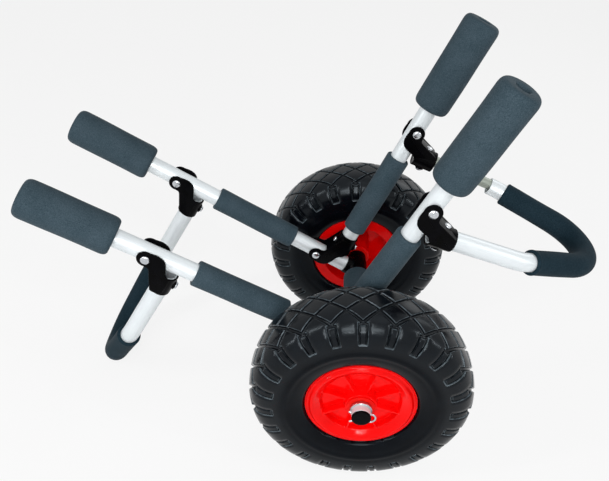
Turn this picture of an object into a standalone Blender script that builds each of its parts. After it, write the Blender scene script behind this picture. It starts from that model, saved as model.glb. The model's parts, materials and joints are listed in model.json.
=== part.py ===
"""Two-board paddleboard cart with a folding frame, modelled at its real size.

Metres, +Z up. The axle runs along Y, the near wheel is at -Y. The cart stands
on its two wheels and on the padded nose of its left U-bar. The origin is on the
ground, under the middle of the whole cart.
"""

import math

import bmesh
import bpy
from mathutils import Matrix, Vector

# Running and fitting clearances
FIT = 0.0003                 # between pieces that touch or are pressed together

# Tubing
TUBE_R = 0.0110              # outer radius of the frame tubing and of the axle
TUBE_WALL = 0.0015
BORE_R = TUBE_R - TUBE_WALL
TUBE_SIDES = 16
PIN_SIDES = 10

# Wheels
TYRE_R = 0.1300              # tread radius
TYRE_HALF_WIDTH = 0.0405
TYRE_BULGE = 0.0080          # how far a side of the tyre stands out past the rim
TREAD_REPEATS = 23           # times the pattern of blocks goes round the tyre
TREAD_DEPTH = 0.0030
GROOVE_WIDTH = 0.0046        # slanting groove, from block to block
CHANNEL_WIDTH = 0.0117       # channel between two shoulder blocks, at the tread radius
BAR_WIDTH = 0.0075           # bar that stands in a channel
SECTION_CURVE = 0.72         # power of sine and cosine that squares off the half-round section
WIDEST_SHARE = 0.436         # how far up the side of the tyre its widest line lies
TREAD_EDGE = 40.1            # degrees round the section, from the crown to the end of the slanting grooves
SHOULDER = 64.0              # section angle where the shoulder blocks and the bars bend
CHANNEL_SHORT = 6.5          # degrees by which a channel stops short of the widest line
BAR_INSET = 4.6              # degrees from each end of a channel to its bar
NEAR_BAR_AT = 98.5           # degrees from +X up to the middle of a bar on the near tyre
FAR_BAR_AT = 84.4            # the same on the far tyre
RIM_R = 0.0644               # outer radius of the rim flange
RIM_SEAT_DEPTH = 0.0088      # from the flange's edge down to the seat that carries the tyre
RIM_FLANGE = 0.0057          # thickness of a flange at the tyre seat
RIM_EDGE = 0.0015            # width of the chamfer round a flange
RIM_LIP = 0.0044             # width of the raised lip round a flange
RIM_LIP_PROUD = 0.0012       # how far the lip stands proud of the flat ring
RIM_RING = 0.0094            # thickness of the ring between the tyre seat and the pockets
RIM_DRAFT = 0.0030           # slope of the ring's inner walls
RIM_POCKET = 0.0110          # depth of the pockets below the lip
RIM_WEB = 0.0050             # thickness of the web behind the pockets
RIM_BOSS_R = 0.0185
RIM_BOSS_DRAFT = 0.0008
RIM_BOSS_PROUD = 0.0020      # how far the boss stands proud of the flange
RIB_COUNT = 8
RIB_THICKNESS = 0.0032
RIB_SUNK = 0.0022            # from the lip down to the top of a rib
WHEEL_SIDES = 28
BUSH_WALL = 0.0034
BUSH_FLANGE_R = 0.0165
BUSH_FLANGE = 0.0015
BUSH_LENGTH = 0.0220

# Axle
TRACK = 0.2863               # between the middle planes of the two wheels
FOAM_TO_TYRE = 0.01035       # from the side of a tyre to an arm's foam, level with the axle
SLEEVE_WALL = 0.0027         # black hub connector round the axle
SLEEVE_LENGTH = 0.0330
SPACER_WALL = 0.0020
STEM_PROUD = 0.0015          # shoulder of the connector past the arm tube that stands on it
STEM_ROOT = 0.0040           # where the stem starts, inside the sleeve
ARM_FOOT = 0.0213            # from the axle's centre line to the end of an arm tube
STEM_SPIGOT = 0.0260         # how far the connector reaches into the arm tube
COLLAR_WALL = 0.0014
COLLAR_LENGTH = 0.0045
CLIP_WIRE_R = 0.0012
CLIP_GAP = 0.0010            # between the collar and the clip's wire
CLIP_PLAY = 0.0006           # between the axle and the clip's outer leg
CLIP_PAST = 0.0030           # how far the straight leg sticks out of the axle
CLIP_LEG = 0.0110            # length of the outer leg, from the eye
CLIP_FLARE = 0.0030          # how far the outer leg's end bends away
AXLE_PAST_CLIP = 0.0055      # from the clip's centre line to the end of the axle
CAP_HEAD = 0.0028
CAP_EDGE = 0.0012
CAP_BARREL = 0.0036

# Left arms: distances along an arm
INNER_BOLT = 0.0685          # from the axle's centre line to the bolt of the right arm
LEFT_BOLT = 0.2840           # from the axle's centre line to the bolt of the left U-bar
LEFT_SPREAD = 0.0084         # how much further out the bolt is than the arm's foot
LEFT_BARE_LOW = 0.0375       # from the inner bolt to the thin sleeve
LEFT_BARE_HIGH = 0.0586      # from the thin sleeve to the left bolt
LEFT_BARE_END = 0.0404       # from the left bolt to the grip
LEFT_GRIP_LENGTH = 0.1089

# Right arms: distances along an arm from the foot of the inner bolt
RIGHT_BOLT = 0.2185          # to the bolt of the right U-bar
RIGHT_SPREAD = 0.0134        # how much further out the bolt is than the arm's foot
RIGHT_BARE_LOW = 0.0130      # from the end of the socket to the thin sleeve
RIGHT_BARE_HIGH = 0.0435     # from the thin sleeve to the right bolt
RIGHT_BARE_END = 0.0320      # from the right bolt to the grip
RIGHT_GRIP_LENGTH = 0.1198

# Angles between the parts of the open frame, in degrees
FRAME_OPENING = 86.6         # from the right arm to the left arm
LEFT_U_ANGLE = 88.9          # from the left arm to the left U-bar
RIGHT_U_ANGLE = 85.1         # from the right arm to the right U-bar

# Foam
GRIP_WALL = 0.0119
GRIP_ROUND = 0.0085
GRIP_TIP = 0.0110            # foam past the end of the tube
GRIP_VENT_R = 0.0022
ARM_FOAM_WALL = 0.0044
U_FOAM_WALL = 0.0036
AXLE_FOAM_WALL = 0.0082
FOAM_ROUND = 0.0022

# Folding brackets
LEG_OFFSET = 0.0315          # from the bolt to the centre line of the carried tube
EYE_R = 0.0104
CHEEK_PLAY = 0.0014          # between a cheek and the carrying tube
CHEEK = 0.0018
CHEEK_SHORT = 0.0020         # how far the cheeks end before the socket does
CROWN = 0.0172               # length of the flat top of a cheek, inboard of the bolt
NECK = 0.0245                # inboard edge of a cheek, level with the bolt
CHEEK_EDGE = 0.0020          # how far a corner of a cheek is cut back
FRONT_FLAT = 0.0045          # flat front of the socket, inboard of its centre line
BACK_FLAT = 0.0080           # solid web of the socket, outboard of its centre line
SOCKET_WALL = 0.0019
SOCKET_STAND = 0.0026        # from the carrying tube to the upper rim of the socket
SOCKET_LIP = 0.0010          # from the slot's floor to the upper rim
SOCKET_LENGTH = 0.0279
TUBE_SUNK = 0.0008           # from the upper rim to the end of the carried tube
BOLT_R = 0.0030
BOLT_HEAD_R = 0.0054
BOLT_HEAD = 0.0034
SCREW_R = 0.0022             # cross screw that holds the tube in its socket
SCREW_DOWN = 0.0139          # from the upper rim of the socket to the screw
SCREW_HEAD_R = 0.0044
SCREW_HEAD = 0.0030
BOSS_R = 0.0060              # round seats under the screw's head and nut
BOSS_PROUD = 0.0012

# U-bars: distances from the bolt, measured down the leg
LEG_BEND = 0.1280
LEFT_LEG_DRAW = 0.0031       # how far a leg draws in from the bolt to its bend
RIGHT_LEG_DRAW = 0.0101
BEND_RADIUS = 0.0550
BEND_STEP = 20               # degrees of bend between two rings of a bent tube
NOSE_LEAN = 23.9             # degrees from the legs to the converging stretches
LEFT_CONVERGING = 0.0788     # length of the stretches that converge on the nose
RIGHT_CONVERGING = 0.0841
U_FOAM_START = 0.1430
SPLICE_BARE = 0.0210         # bare end of the right U-bar's far tube, from the rod to the foam
ROD_PLAY = 0.0025            # how much thinner the rod is than the bore that takes it
ROD_OVERLAP = 0.0220         # how far the rod reaches into the tube

MATERIALS = {
    "anodised_tube": ((0.80, 0.84, 0.84), 0.32, 0.85),
    "zinc_steel": ((0.72, 0.74, 0.76), 0.24, 1.0),
    "arm_foam": ((0.075, 0.115, 0.140), 0.88, 0.0),
    "tyre_rubber": ((0.012, 0.013, 0.015), 0.42, 0.0),
    "red_plastic": ((0.80, 0.008, 0.005), 0.22, 0.0),
    "black_nylon": ((0.010, 0.010, 0.011), 0.38, 0.0),
    "bearing_plastic": ((0.62, 0.010, 0.007), 0.4, 0.0),
}


def clear_scene():
    """Remove whatever the file holds."""
    for thing in list(bpy.data.objects):
        bpy.data.objects.remove(thing, do_unlink=True)


def make_materials():
    """One Principled material for each finish."""
    made = {}
    for name, (colour, roughness, metallic) in MATERIALS.items():
        material = bpy.data.materials.new(name)
        material.use_nodes = True
        shader = material.node_tree.nodes["Principled BSDF"]
        shader.inputs["Base Color"].default_value = (*colour, 1.0)
        shader.inputs["Roughness"].default_value = roughness
        shader.inputs["Metallic"].default_value = metallic
        made[name] = material
    return made


def heading(degrees):
    """Unit vector in the XZ plane, turned from +X towards +Z."""
    angle = math.radians(degrees)
    return Vector((math.cos(angle), 0.0, math.sin(angle)))


def frame(origin, z_axis, x_hint):
    """Placement whose Z runs along z_axis and whose X lies close to x_hint."""
    z = Vector(z_axis).normalized()
    x = (Vector(x_hint) - z * z.dot(Vector(x_hint))).normalized()
    y = z.cross(x)
    turn = Matrix((x, y, z)).transposed().to_4x4()
    return Matrix.Translation(Vector(origin)) @ turn


class Body:
    """An empty on a joint's axis that carries the pieces that move together."""

    def __init__(self, name, place, parent=None):
        self.place = place
        self.empty = bpy.data.objects.new(name, None)
        bpy.context.scene.collection.objects.link(self.empty)
        if parent is None:
            self.empty.matrix_basis = place
        else:
            self.empty.parent = parent.empty
            self.empty.matrix_basis = parent.place.inverted() @ place

    def carry(self, thing, place):
        """Parent an object whose placement is given in the cart's axes."""
        thing.parent = self.empty
        thing.matrix_basis = self.place.inverted() @ place


def finish(name, bm, material):
    """Turn a bmesh into a named object with its faces pointing out."""
    bmesh.ops.remove_doubles(bm, verts=bm.verts, dist=1e-7)
    bmesh.ops.recalc_face_normals(bm, faces=bm.faces)
    mesh = bpy.data.meshes.new(name)
    bm.to_mesh(mesh)
    bm.free()
    mesh.shade_smooth()
    mesh.set_sharp_from_angle(angle=math.radians(35))
    if material is not None:
        mesh.materials.append(material)
    thing = bpy.data.objects.new(name, mesh)
    bpy.context.scene.collection.objects.link(thing)
    return thing


def turned(name, profile, sides, material, closed=True):
    """Spin a profile of (height, radius) points round Z.

    A closed profile has a bore. An open one starts and ends on the axis.
    """
    bm = bmesh.new()
    half = math.pi / sides
    verts = [bm.verts.new((r * math.cos(half), r * math.sin(half), z)) for z, r in profile]
    pairs = list(zip(verts, verts[1:]))
    if closed:
        pairs.append((verts[-1], verts[0]))
    edges = [bm.edges.new(pair) for pair in pairs]
    bmesh.ops.spin(bm, geom=edges, cent=(0, 0, 0), axis=(0, 0, 1), dvec=(0, 0, 0),
                   angle=2 * math.pi, steps=sides, use_merge=True, use_duplicate=False)
    bmesh.ops.dissolve_degenerate(bm, dist=1e-7, edges=bm.edges)
    return finish(name, bm, material)


def swept(name, stations, outer, inner, sides, material):
    """Carry a ring, or a disc where inner is None, through a row of placements."""
    bm = bmesh.new()

    def ring(place, radius):
        made = bmesh.ops.create_circle(bm, cap_ends=False, segments=sides, radius=radius, matrix=place)
        return made["verts"]

    def wall(radius):
        radii = radius if isinstance(radius, list) else [radius] * len(stations)
        rings = [ring(place, r) for place, r in zip(stations, radii)]
        for low, high in zip(rings, rings[1:]):
            for i in range(sides):
                j = (i + 1) % sides
                bm.faces.new((low[i], low[j], high[j], high[i]))
        return rings

    outside = wall(outer)
    if inner is None:
        bm.faces.new(list(reversed(outside[0])))
        bm.faces.new(outside[-1])
    else:
        inside = wall(inner)
        for end in (0, -1):
            for i in range(sides):
                j = (i + 1) % sides
                bm.faces.new((outside[end][i], outside[end][j], inside[end][j], inside[end][i]))
    return finish(name, bm, material)


def extruded(name, outline, half_width, material):
    """Extrude a closed outline of (x, z) points from -half_width to +half_width along Y."""
    bm = bmesh.new()
    face = bm.faces.new([bm.verts.new((x, -half_width, z)) for x, z in outline])
    grown = bmesh.ops.extrude_face_region(bm, geom=[face])
    moved = [g for g in grown["geom"] if isinstance(g, bmesh.types.BMVert)]
    bmesh.ops.translate(bm, verts=moved, vec=(0, 2 * half_width, 0))
    return finish(name, bm, material)


def rod(name, radius, start, end, sides=PIN_SIDES):
    """Plain cylinder along Z, for cutters and for what is joined to a piece."""
    return turned(name, [(start, 0.0), (start, radius), (end, radius), (end, 0.0)], sides, None, closed=False)


def combine(target, tool, place, operation):
    """Join or cut target with a hidden tool placed in target's own axes."""
    tool.parent = target
    tool.matrix_basis = place
    tool.hide_render = True
    tool.display_type = 'WIRE'
    change = target.modifiers.new(operation.lower(), 'BOOLEAN')
    change.operation = operation
    change.solver = 'EXACT'
    change.object = tool


def arc(centre, radius, start, end, steps):
    """Points (x, z) of an arc, angles in degrees."""
    points = []
    for i in range(steps + 1):
        angle = math.radians(start + (end - start) * i / steps)
        points.append((centre[0] + radius * math.cos(angle), centre[1] + radius * math.sin(angle)))
    return points


def foam_profile(start, end, radius, bore, rounding, tip=None, vent=None):
    """Closed profile of a foam sleeve; with tip, its far end closes over the tube."""
    steps = 2
    points = [(start, bore), (start, radius - rounding)]
    for i in range(1, steps + 1):
        angle = math.radians(90 * i / steps)
        points.append((start + rounding * (1 - math.cos(angle)), radius - rounding * (1 - math.sin(angle))))
    for i in range(steps + 1):
        angle = math.radians(90 * i / steps)
        points.append((end - rounding * (1 - math.sin(angle)), radius - rounding * (1 - math.cos(angle))))
    if tip is None:
        points.append((end, bore))
    else:
        points.append((end, vent))
        points.append((end - tip, vent))
        points.append((end - tip, bore))
    return points


def tube_profile(start, end, outer=TUBE_R, inner=BORE_R):
    """Closed profile of a plain tube."""
    return [(start, inner), (start, outer), (end, outer), (end, inner)]


def arm_frame(foot, direction_degrees, side, foot_spacing, splay):
    """Placement of one arm: Z runs up the arm, which leans outwards by the splay."""
    lean = math.radians(splay)
    along = heading(direction_degrees) * math.cos(lean) + Vector((0, side * math.sin(lean), 0))
    origin = Vector((foot.x, side * foot_spacing, foot.z))
    return frame(origin, along, heading(direction_degrees - 90))


def hinge_frame(bolt, leg_degrees, outboard_degrees):
    """Placement of a hinge: Z down the carried tube, X outboard, Y along the bolt."""
    return frame(bolt, heading(leg_degrees), heading(outboard_degrees))


def about_y(side):
    """Placement that turns local Z to run along Y, outwards on that side."""
    return frame((0, 0, 0), (0, side, 0), (1, 0, 0))


def at(x=0.0, y=0.0, z=0.0):
    """Plain shift."""
    return Matrix.Translation((x, y, z))


ALONG_Y = Matrix.Rotation(math.radians(-90), 4, 'X')
ALONG_X = Matrix.Rotation(math.radians(90), 4, 'Y')

# Sizes that follow from the driving ones
BUSH_R = TUBE_R + FIT + BUSH_WALL
RIM_HALF_WIDTH = TYRE_HALF_WIDTH - TYRE_BULGE
RIM_SEAT_R = RIM_R - RIM_SEAT_DEPTH
RIM_WALL_R = RIM_SEAT_R - RIM_RING
WIDEST_R = RIM_R + WIDEST_SHARE * (TYRE_R - RIM_R)
CHANNEL_END = 90.0 - CHANNEL_SHORT
BAR_START = TREAD_EDGE + BAR_INSET
BAR_END = CHANNEL_END - BAR_INSET
RIM_BORE_R = BUSH_R + FIT
RING_FACE = RIM_HALF_WIDTH - RIM_LIP_PROUD
BOSS_END = RIM_HALF_WIDTH + RIM_BOSS_PROUD
BUSH_END = BOSS_END + FIT + BUSH_FLANGE
COLLAR_START = BUSH_END + FIT
CLIP_AT = COLLAR_START + COLLAR_LENGTH + CLIP_GAP + CLIP_WIRE_R
AXLE_HALF = TRACK / 2 + CLIP_AT + AXLE_PAST_CLIP
SLEEVE_R = TUBE_R + FIT + SLEEVE_WALL
SPACER_R = TUBE_R + FIT + SPACER_WALL
COLLAR_R = TUBE_R + FIT + COLLAR_WALL
STEM_R = TUBE_R + STEM_PROUD
GRIP_R = TUBE_R + FIT + GRIP_WALL
ARM_FOAM_R = TUBE_R + FIT + ARM_FOAM_WALL
U_FOAM_R = TUBE_R + FIT + U_FOAM_WALL
AXLE_FOAM_R = TUBE_R + FIT + AXLE_FOAM_WALL
ARM_SPACING = TRACK / 2 - TYRE_HALF_WIDTH - FOAM_TO_TYRE - ARM_FOAM_R
LEFT_BOLT_SPACING = ARM_SPACING + LEFT_SPREAD
LEFT_SPLAY = math.degrees(math.asin(LEFT_SPREAD / LEFT_BOLT))
INNER_SPACING = ARM_SPACING + LEFT_SPREAD * INNER_BOLT / LEFT_BOLT
RIGHT_BOLT_SPACING = INNER_SPACING + RIGHT_SPREAD
RIGHT_SPLAY = math.degrees(math.asin(RIGHT_SPREAD / RIGHT_BOLT))
SOCKET_R = TUBE_R + FIT + SOCKET_WALL
SOCKET_TOP = TUBE_R + SOCKET_STAND
SOCKET_END = SOCKET_TOP + SOCKET_LENGTH
SLOT_FLOOR = SOCKET_TOP - SOCKET_LIP
CARRIED_START = SOCKET_TOP + TUBE_SUNK
SCREW_AT = SOCKET_TOP + SCREW_DOWN
CHEEK_GAP = TUBE_R + CHEEK_PLAY
CHEEK_FACE = CHEEK_GAP + CHEEK
CHEEK_END = SOCKET_END - CHEEK_SHORT
BOSS_FACE = SOCKET_R + BOSS_PROUD
LEFT_SLEEVE = (INNER_BOLT + LEFT_BARE_LOW, LEFT_BOLT - LEFT_BARE_HIGH)
LEFT_GRIP = (LEFT_BOLT + LEFT_BARE_END, LEFT_BOLT + LEFT_BARE_END + LEFT_GRIP_LENGTH)
RIGHT_SLEEVE = (SOCKET_END + RIGHT_BARE_LOW, RIGHT_BOLT - RIGHT_BARE_HIGH)
RIGHT_GRIP = (RIGHT_BOLT + RIGHT_BARE_END, RIGHT_BOLT + RIGHT_BARE_END + RIGHT_GRIP_LENGTH)
SPLICE = U_FOAM_START - SPLICE_BARE
ROD_R = BORE_R - ROD_PLAY
ROD_SHIFT = ROD_PLAY - FIT
SIDES = (("near", -1), ("far", 1))


class LegPath:
    """Centre line of a U-bar in the plane x = -LEG_OFFSET of its hinge.

    It starts level with the bolts on the local -Y side, and s is the distance
    along it. The legs draw together, bend, converge and meet in a round nose.
    """

    def __init__(self, spacing, draw, converging):
        self.spacing = spacing
        self.toe = math.atan2(draw, LEG_BEND)
        lean = math.radians(NOSE_LEAN)
        tangent = BEND_RADIUS * math.tan((lean - self.toe) / 2)
        leg = LEG_BEND / math.cos(self.toe)
        nose_r = (spacing - draw - converging * math.sin(lean)) / math.cos(lean)
        half = [(leg - tangent, 0.0), (BEND_RADIUS * (lean - self.toe), 1 / BEND_RADIUS),
                (converging - tangent, 0.0)]
        nose = (nose_r * (math.pi - 2 * lean), 1 / nose_r)
        self.pieces = half + [nose] + half[::-1]
        self.length = sum(length for length, bend in self.pieces)
        self.reach = LEG_BEND + converging * math.cos(lean) + nose_r * (1 - math.sin(lean))

    def spot(self, s):
        """Point (y, z) and heading at distance s."""
        y, z, turn = -self.spacing, 0.0, self.toe
        for length, bend in self.pieces:
            step = min(s, length)
            if bend:
                y += (math.cos(turn) - math.cos(turn + bend * step)) / bend
                z += (math.sin(turn + bend * step) - math.sin(turn)) / bend
                turn += bend * step
            else:
                y += math.sin(turn) * step
                z += math.cos(turn) * step
            s -= step
            if s <= 0:
                break
        return y, z, turn

    def stations(self, start, end, x, extra=()):
        """Placements from start to end, with several along each bend."""
        marks = {start, end, *extra}
        done = 0.0
        for length, bend in self.pieces:
            count = max(1, math.ceil(length * bend / math.radians(BEND_STEP)))
            marks.update(done + length * i / count for i in range(count + 1))
            done += length
        places = []
        for s in sorted(m for m in marks if start <= m <= end):
            y, z, turn = self.spot(s)
            places.append(frame((x, y, z), (0, math.sin(turn), math.cos(turn)), (1, 0, 0)))
        return places


def leg_sections(path, start, end, x):
    """Stations of a foam sleeve with softened ends, and its radius at each."""
    soft = (start + FOAM_ROUND, end - FOAM_ROUND)
    places = path.stations(start, end, x, soft)
    radii = [U_FOAM_R] * len(places)
    radii[0] = U_FOAM_R - FOAM_ROUND
    radii[-1] = U_FOAM_R - FOAM_ROUND
    return places, radii


def cheek_outline():
    """Outline (x, z) of the bracket's cheeks: an eye, a flat crown and a slanting shank."""
    left = -(LEG_OFFSET + FRONT_FLAT)
    right = SOCKET_R - LEG_OFFSET - 1.5 * CHEEK_EDGE
    hollow = (-0.67 * EYE_R, EYE_R)
    outline = arc((0, 0), EYE_R, 270, 464, 6)
    outline += [hollow, (hollow[0] - CHEEK_EDGE, EYE_R + CHEEK_EDGE), (right, CHEEK_END)]
    outline += [(left + CHEEK_EDGE, CHEEK_END), (left, CHEEK_END - CHEEK_EDGE), (left, SOCKET_TOP)]
    outline += [(-NECK - 2 * CHEEK_EDGE, EYE_R), (-NECK, 0.0)]
    outline += [(-CROWN - CHEEK_EDGE, CHEEK_EDGE - EYE_R), (-CROWN + 0.5 * CHEEK_EDGE, -EYE_R)]
    return outline


def bracket(name, toe_degrees, outside, bore_r, bore_shift, material):
    """Folding bracket: two cheeks that straddle the carrying tube, with a socket.

    Local X points outboard, Y runs along the bolt and Z down the carried tube.
    """
    thing = extruded(name, cheek_outline(), CHEEK_FACE, material)
    web = BACK_FLAT - LEG_OFFSET
    clear = LEG_OFFSET + 2 * SOCKET_END
    gap = [(-clear, -clear), (clear, -clear), (clear, clear), (web, clear), (web, SLOT_FLOOR)]
    gap.append((-clear, SLOT_FLOOR))
    combine(thing, extruded(name + "_gap", gap, CHEEK_GAP, None), Matrix(), 'DIFFERENCE')
    carried = at(x=-LEG_OFFSET) @ Matrix.Rotation(math.radians(toe_degrees) * outside, 4, 'X')
    screw_line = carried @ at(z=SCREW_AT) @ ALONG_X
    combine(thing, rod(name + "_socket", SOCKET_R, SOCKET_TOP, SOCKET_END, TUBE_SIDES), carried, 'UNION')
    seats = rod(name + "_seats", BOSS_R, -BOSS_FACE, BOSS_FACE)
    combine(thing, seats, screw_line, 'UNION')
    bore = rod(name + "_bore", bore_r, SLOT_FLOOR - TUBE_R, SOCKET_END + TUBE_R, TUBE_SIDES)
    combine(thing, bore, carried @ at(x=bore_shift), 'DIFFERENCE')
    pivot_hole = rod(name + "_pivot_hole", BOLT_R + FIT, -2 * CHEEK_FACE, 2 * CHEEK_FACE)
    combine(thing, pivot_hole, ALONG_Y, 'DIFFERENCE')
    screw_hole = rod(name + "_screw_hole", SCREW_R + FIT, -LEG_OFFSET, LEG_OFFSET)
    combine(thing, screw_hole, screw_line, 'DIFFERENCE')
    return thing


def pivot_bolt(name, material):
    """Bolt through both cheeks and the tube, with a domed head and a domed nut."""
    face = CHEEK_FACE + FIT
    dome = [(face, BOLT_HEAD_R), (face + 0.3 * BOLT_HEAD, BOLT_HEAD_R)]
    dome += [(face + BOLT_HEAD, 0.45 * BOLT_HEAD_R), (face + BOLT_HEAD, 0.0)]
    upper = [(face, BOLT_R)] + dome
    lower = [(-z, r) for z, r in reversed(upper)]
    return turned(name, lower + upper, PIN_SIDES, material, closed=False)


def cross_screw(name, material):
    """Screw through the socket and its tube, with a domed head and a domed nut."""
    face = BOSS_FACE + FIT
    upper = [(face, SCREW_R), (face, SCREW_HEAD_R), (face + 0.4 * SCREW_HEAD, SCREW_HEAD_R)]
    upper += [(face + SCREW_HEAD, 0.45 * SCREW_HEAD_R), (face + SCREW_HEAD, 0.0)]
    lower = [(-z, r) for z, r in reversed(upper)]
    return turned(name, lower + upper, PIN_SIDES, material, closed=False)


def bolt_hole(tube, tube_place, hinge):
    """Drill a tube for a pivot bolt along the hinge line."""
    drill = rod(tube.name + "_drill", BOLT_R + FIT, -TRACK / 2, TRACK / 2)
    combine(tube, drill, tube_place.inverted() @ hinge @ ALONG_Y, 'DIFFERENCE')


def section_spot(degrees):
    """Point (height, radius) of the tyre's half-round section and its normal, for an angle from the crown."""
    t = math.radians(abs(degrees))
    side = math.copysign(1.0, degrees)
    high = TYRE_R - WIDEST_R
    z = TYRE_HALF_WIDTH * math.sin(t) ** SECTION_CURVE
    r = WIDEST_R + high * math.cos(t) ** SECTION_CURVE
    if degrees == 0:
        return Vector((0.0, r)), Vector((0.0, 1.0))
    across = TYRE_HALF_WIDTH * math.sin(t) ** (SECTION_CURVE - 1) * math.cos(t)
    down = high * math.cos(t) ** (SECTION_CURVE - 1) * math.sin(t)
    return Vector((side * z, r)), Vector((side * down, across)).normalized()


def lattice_angle(share):
    """Section angle at a share of the way from the crown to the end of the slanting grooves."""
    reach = abs(share) ** (1 / SECTION_CURVE) * math.sin(math.radians(TREAD_EDGE))
    return math.copysign(math.degrees(math.asin(reach)), share)


def diamond(face, turn, share, cut):
    """Raised diamond between four slanting grooves; cut is the share of it that its edges lose."""
    keep = 0.5 * (1 - cut)
    corners = ((-0.5, 0), (0, 0.5), (0.5, 0), (0, -0.5))
    top = [(turn + 2 * keep * u, lattice_angle(share + 2 * keep * v), 0) for u, v in corners]
    foot = [(turn + u, lattice_angle(share + v), 1) for u, v in corners]
    face(*top)
    for i in range(4):
        face(foot[i - 1], foot[i], top[i], top[i - 1])


def shoulder(face, turn, side, cut, channel, bar):
    """One shoulder block, with the channel before it and the bar that stands in the channel.

    channel and bar are half widths, as shares of a repeat.
    """
    def top(u, angle):
        return turn + u, side * angle, 0

    def foot(u, angle):
        return turn + u, side * angle, 1

    slope = 0.5 * cut
    shelf = lattice_angle(1 + slope - channel)
    tip = top(0.5, lattice_angle(0.5 + slope))
    crossing = foot(0.5, lattice_angle(0.5))
    start = foot(0.0, TREAD_EDGE)
    end = foot(0.0, (BAR_END + CHANNEL_END) / 2)
    face(tip, top(channel, shelf), top(1 - channel, shelf))
    face(start, crossing, tip, top(channel, shelf))
    face(crossing, foot(1.0, TREAD_EDGE), top(1 - channel, shelf), tip)
    for low, high in ((shelf, SHOULDER), (SHOULDER, CHANNEL_END)):
        face(top(channel, low), top(channel, high), top(1 - channel, high), top(1 - channel, low))
    for hand in (1, -1):
        bottom = foot(hand * (channel + bar) / 2, SHOULDER)
        edge = top(hand * channel, SHOULDER)
        bar_edge = top(hand * bar, SHOULDER)
        face(start, top(hand * channel, shelf), edge, bottom)
        face(bottom, edge, top(hand * channel, CHANNEL_END), end)
        face(start, bottom, bar_edge, top(hand * bar, BAR_START))
        face(bottom, end, top(hand * bar, BAR_END), bar_edge)
    for low, high in ((BAR_START, SHOULDER), (SHOULDER, BAR_END)):
        face(top(-bar, low), top(-bar, high), top(bar, high), top(bar, low))
    face(start, top(-bar, BAR_START), top(bar, BAR_START))
    face(end, top(-bar, BAR_END), top(bar, BAR_END))
    face(end, top(-channel, CHANNEL_END), top(channel, CHANNEL_END))


def zip_rings(bm, one, other):
    """Fill the band between two rings of (angle, vertex) pairs with triangles."""
    one = sorted(one, key=lambda pair: pair[0])
    other = sorted(other, key=lambda pair: pair[0])
    one.append((one[0][0] + 2 * math.pi, one[0][1]))
    other.append((other[0][0] + 2 * math.pi, other[0][1]))
    i = j = 0
    while i + 1 < len(one) or j + 1 < len(other):
        if j + 1 == len(other) or (i + 1 < len(one) and one[i + 1][0] <= other[j + 1][0]):
            bm.faces.new((one[i][1], one[i + 1][1], other[j][1]))
            i += 1
        else:
            bm.faces.new((one[i][1], other[j + 1][1], other[j][1]))
            j += 1


def make_tyre(name, bar_at, material):
    """Tyre with diamonds round its crown and long blocks down its shoulders.

    Each groove is a V between the edges of two blocks, and the sides below are plain.
    """
    bm = bmesh.new()
    made = {}
    rings = {1: [], -1: []}
    pitch = 2 * math.pi * TYRE_R / TREAD_REPEATS
    reach = TYRE_HALF_WIDTH * math.sin(math.radians(TREAD_EDGE)) ** SECTION_CURVE
    cut = GROOVE_WIDTH * math.hypot(1 / pitch, 1 / reach)

    def vertex(turn, degrees, depth):
        turn = round(turn % TREAD_REPEATS, 6) % TREAD_REPEATS
        key = (turn, round(degrees, 6), depth)
        if key not in made:
            point, normal = section_spot(degrees)
            z, r = point - normal * TREAD_DEPTH * depth
            a = math.radians(bar_at) + 2 * math.pi * turn / TREAD_REPEATS
            made[key] = bm.verts.new((r * math.cos(a), r * math.sin(a), z))
            if abs(degrees) == CHANNEL_END:
                rings[1 if degrees > 0 else -1].append((a % (2 * math.pi), made[key]))
        return made[key]

    def face(*spots):
        bm.faces.new([vertex(*spot) for spot in spots])

    for k in range(TREAD_REPEATS):
        diamond(face, k + 0.5, 0.0, cut)
        for side in (1, -1):
            diamond(face, k, 0.5 * side, cut)
            shoulder(face, k, side, cut, CHANNEL_WIDTH / 2 / pitch, BAR_WIDTH / 2 / pitch)

    sides = tyre_sides()
    angles = [2 * math.pi * (i + 0.5) / WHEEL_SIDES for i in range(WHEEL_SIDES)]
    rows = [[bm.verts.new((r * math.cos(a), r * math.sin(a), z)) for a in angles] for z, r in sides]
    for low, high in zip(rows, rows[1:]):
        for i in range(WHEEL_SIDES):
            j = (i + 1) % WHEEL_SIDES
            bm.faces.new((low[i], low[j], high[j], high[i]))
    for side, row in ((-1, rows[0]), (1, rows[-1])):
        zip_rings(bm, rings[side], zip(angles, row))
    return finish(name, bm, material)


def tyre_sides():
    """Points (height, radius) of the plain sides, from the widest line round by the beads to the other."""
    seat = RIM_SEAT_R + FIT
    bead = RIM_HALF_WIDTH - RIM_FLANGE - FIT
    foot = (RIM_HALF_WIDTH - RIM_EDGE - FIT, RIM_R + FIT)
    side = TYRE_R - RIM_R
    half = [(TYRE_HALF_WIDTH, WIDEST_R), (0.97 * TYRE_HALF_WIDTH, RIM_R + 0.192 * side)]
    half += [(foot[0] + 0.5 * TYRE_BULGE, foot[1] + 0.018 * side), foot, (bead, seat)]
    return [(-z, r) for z, r in half] + half[::-1]


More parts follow.
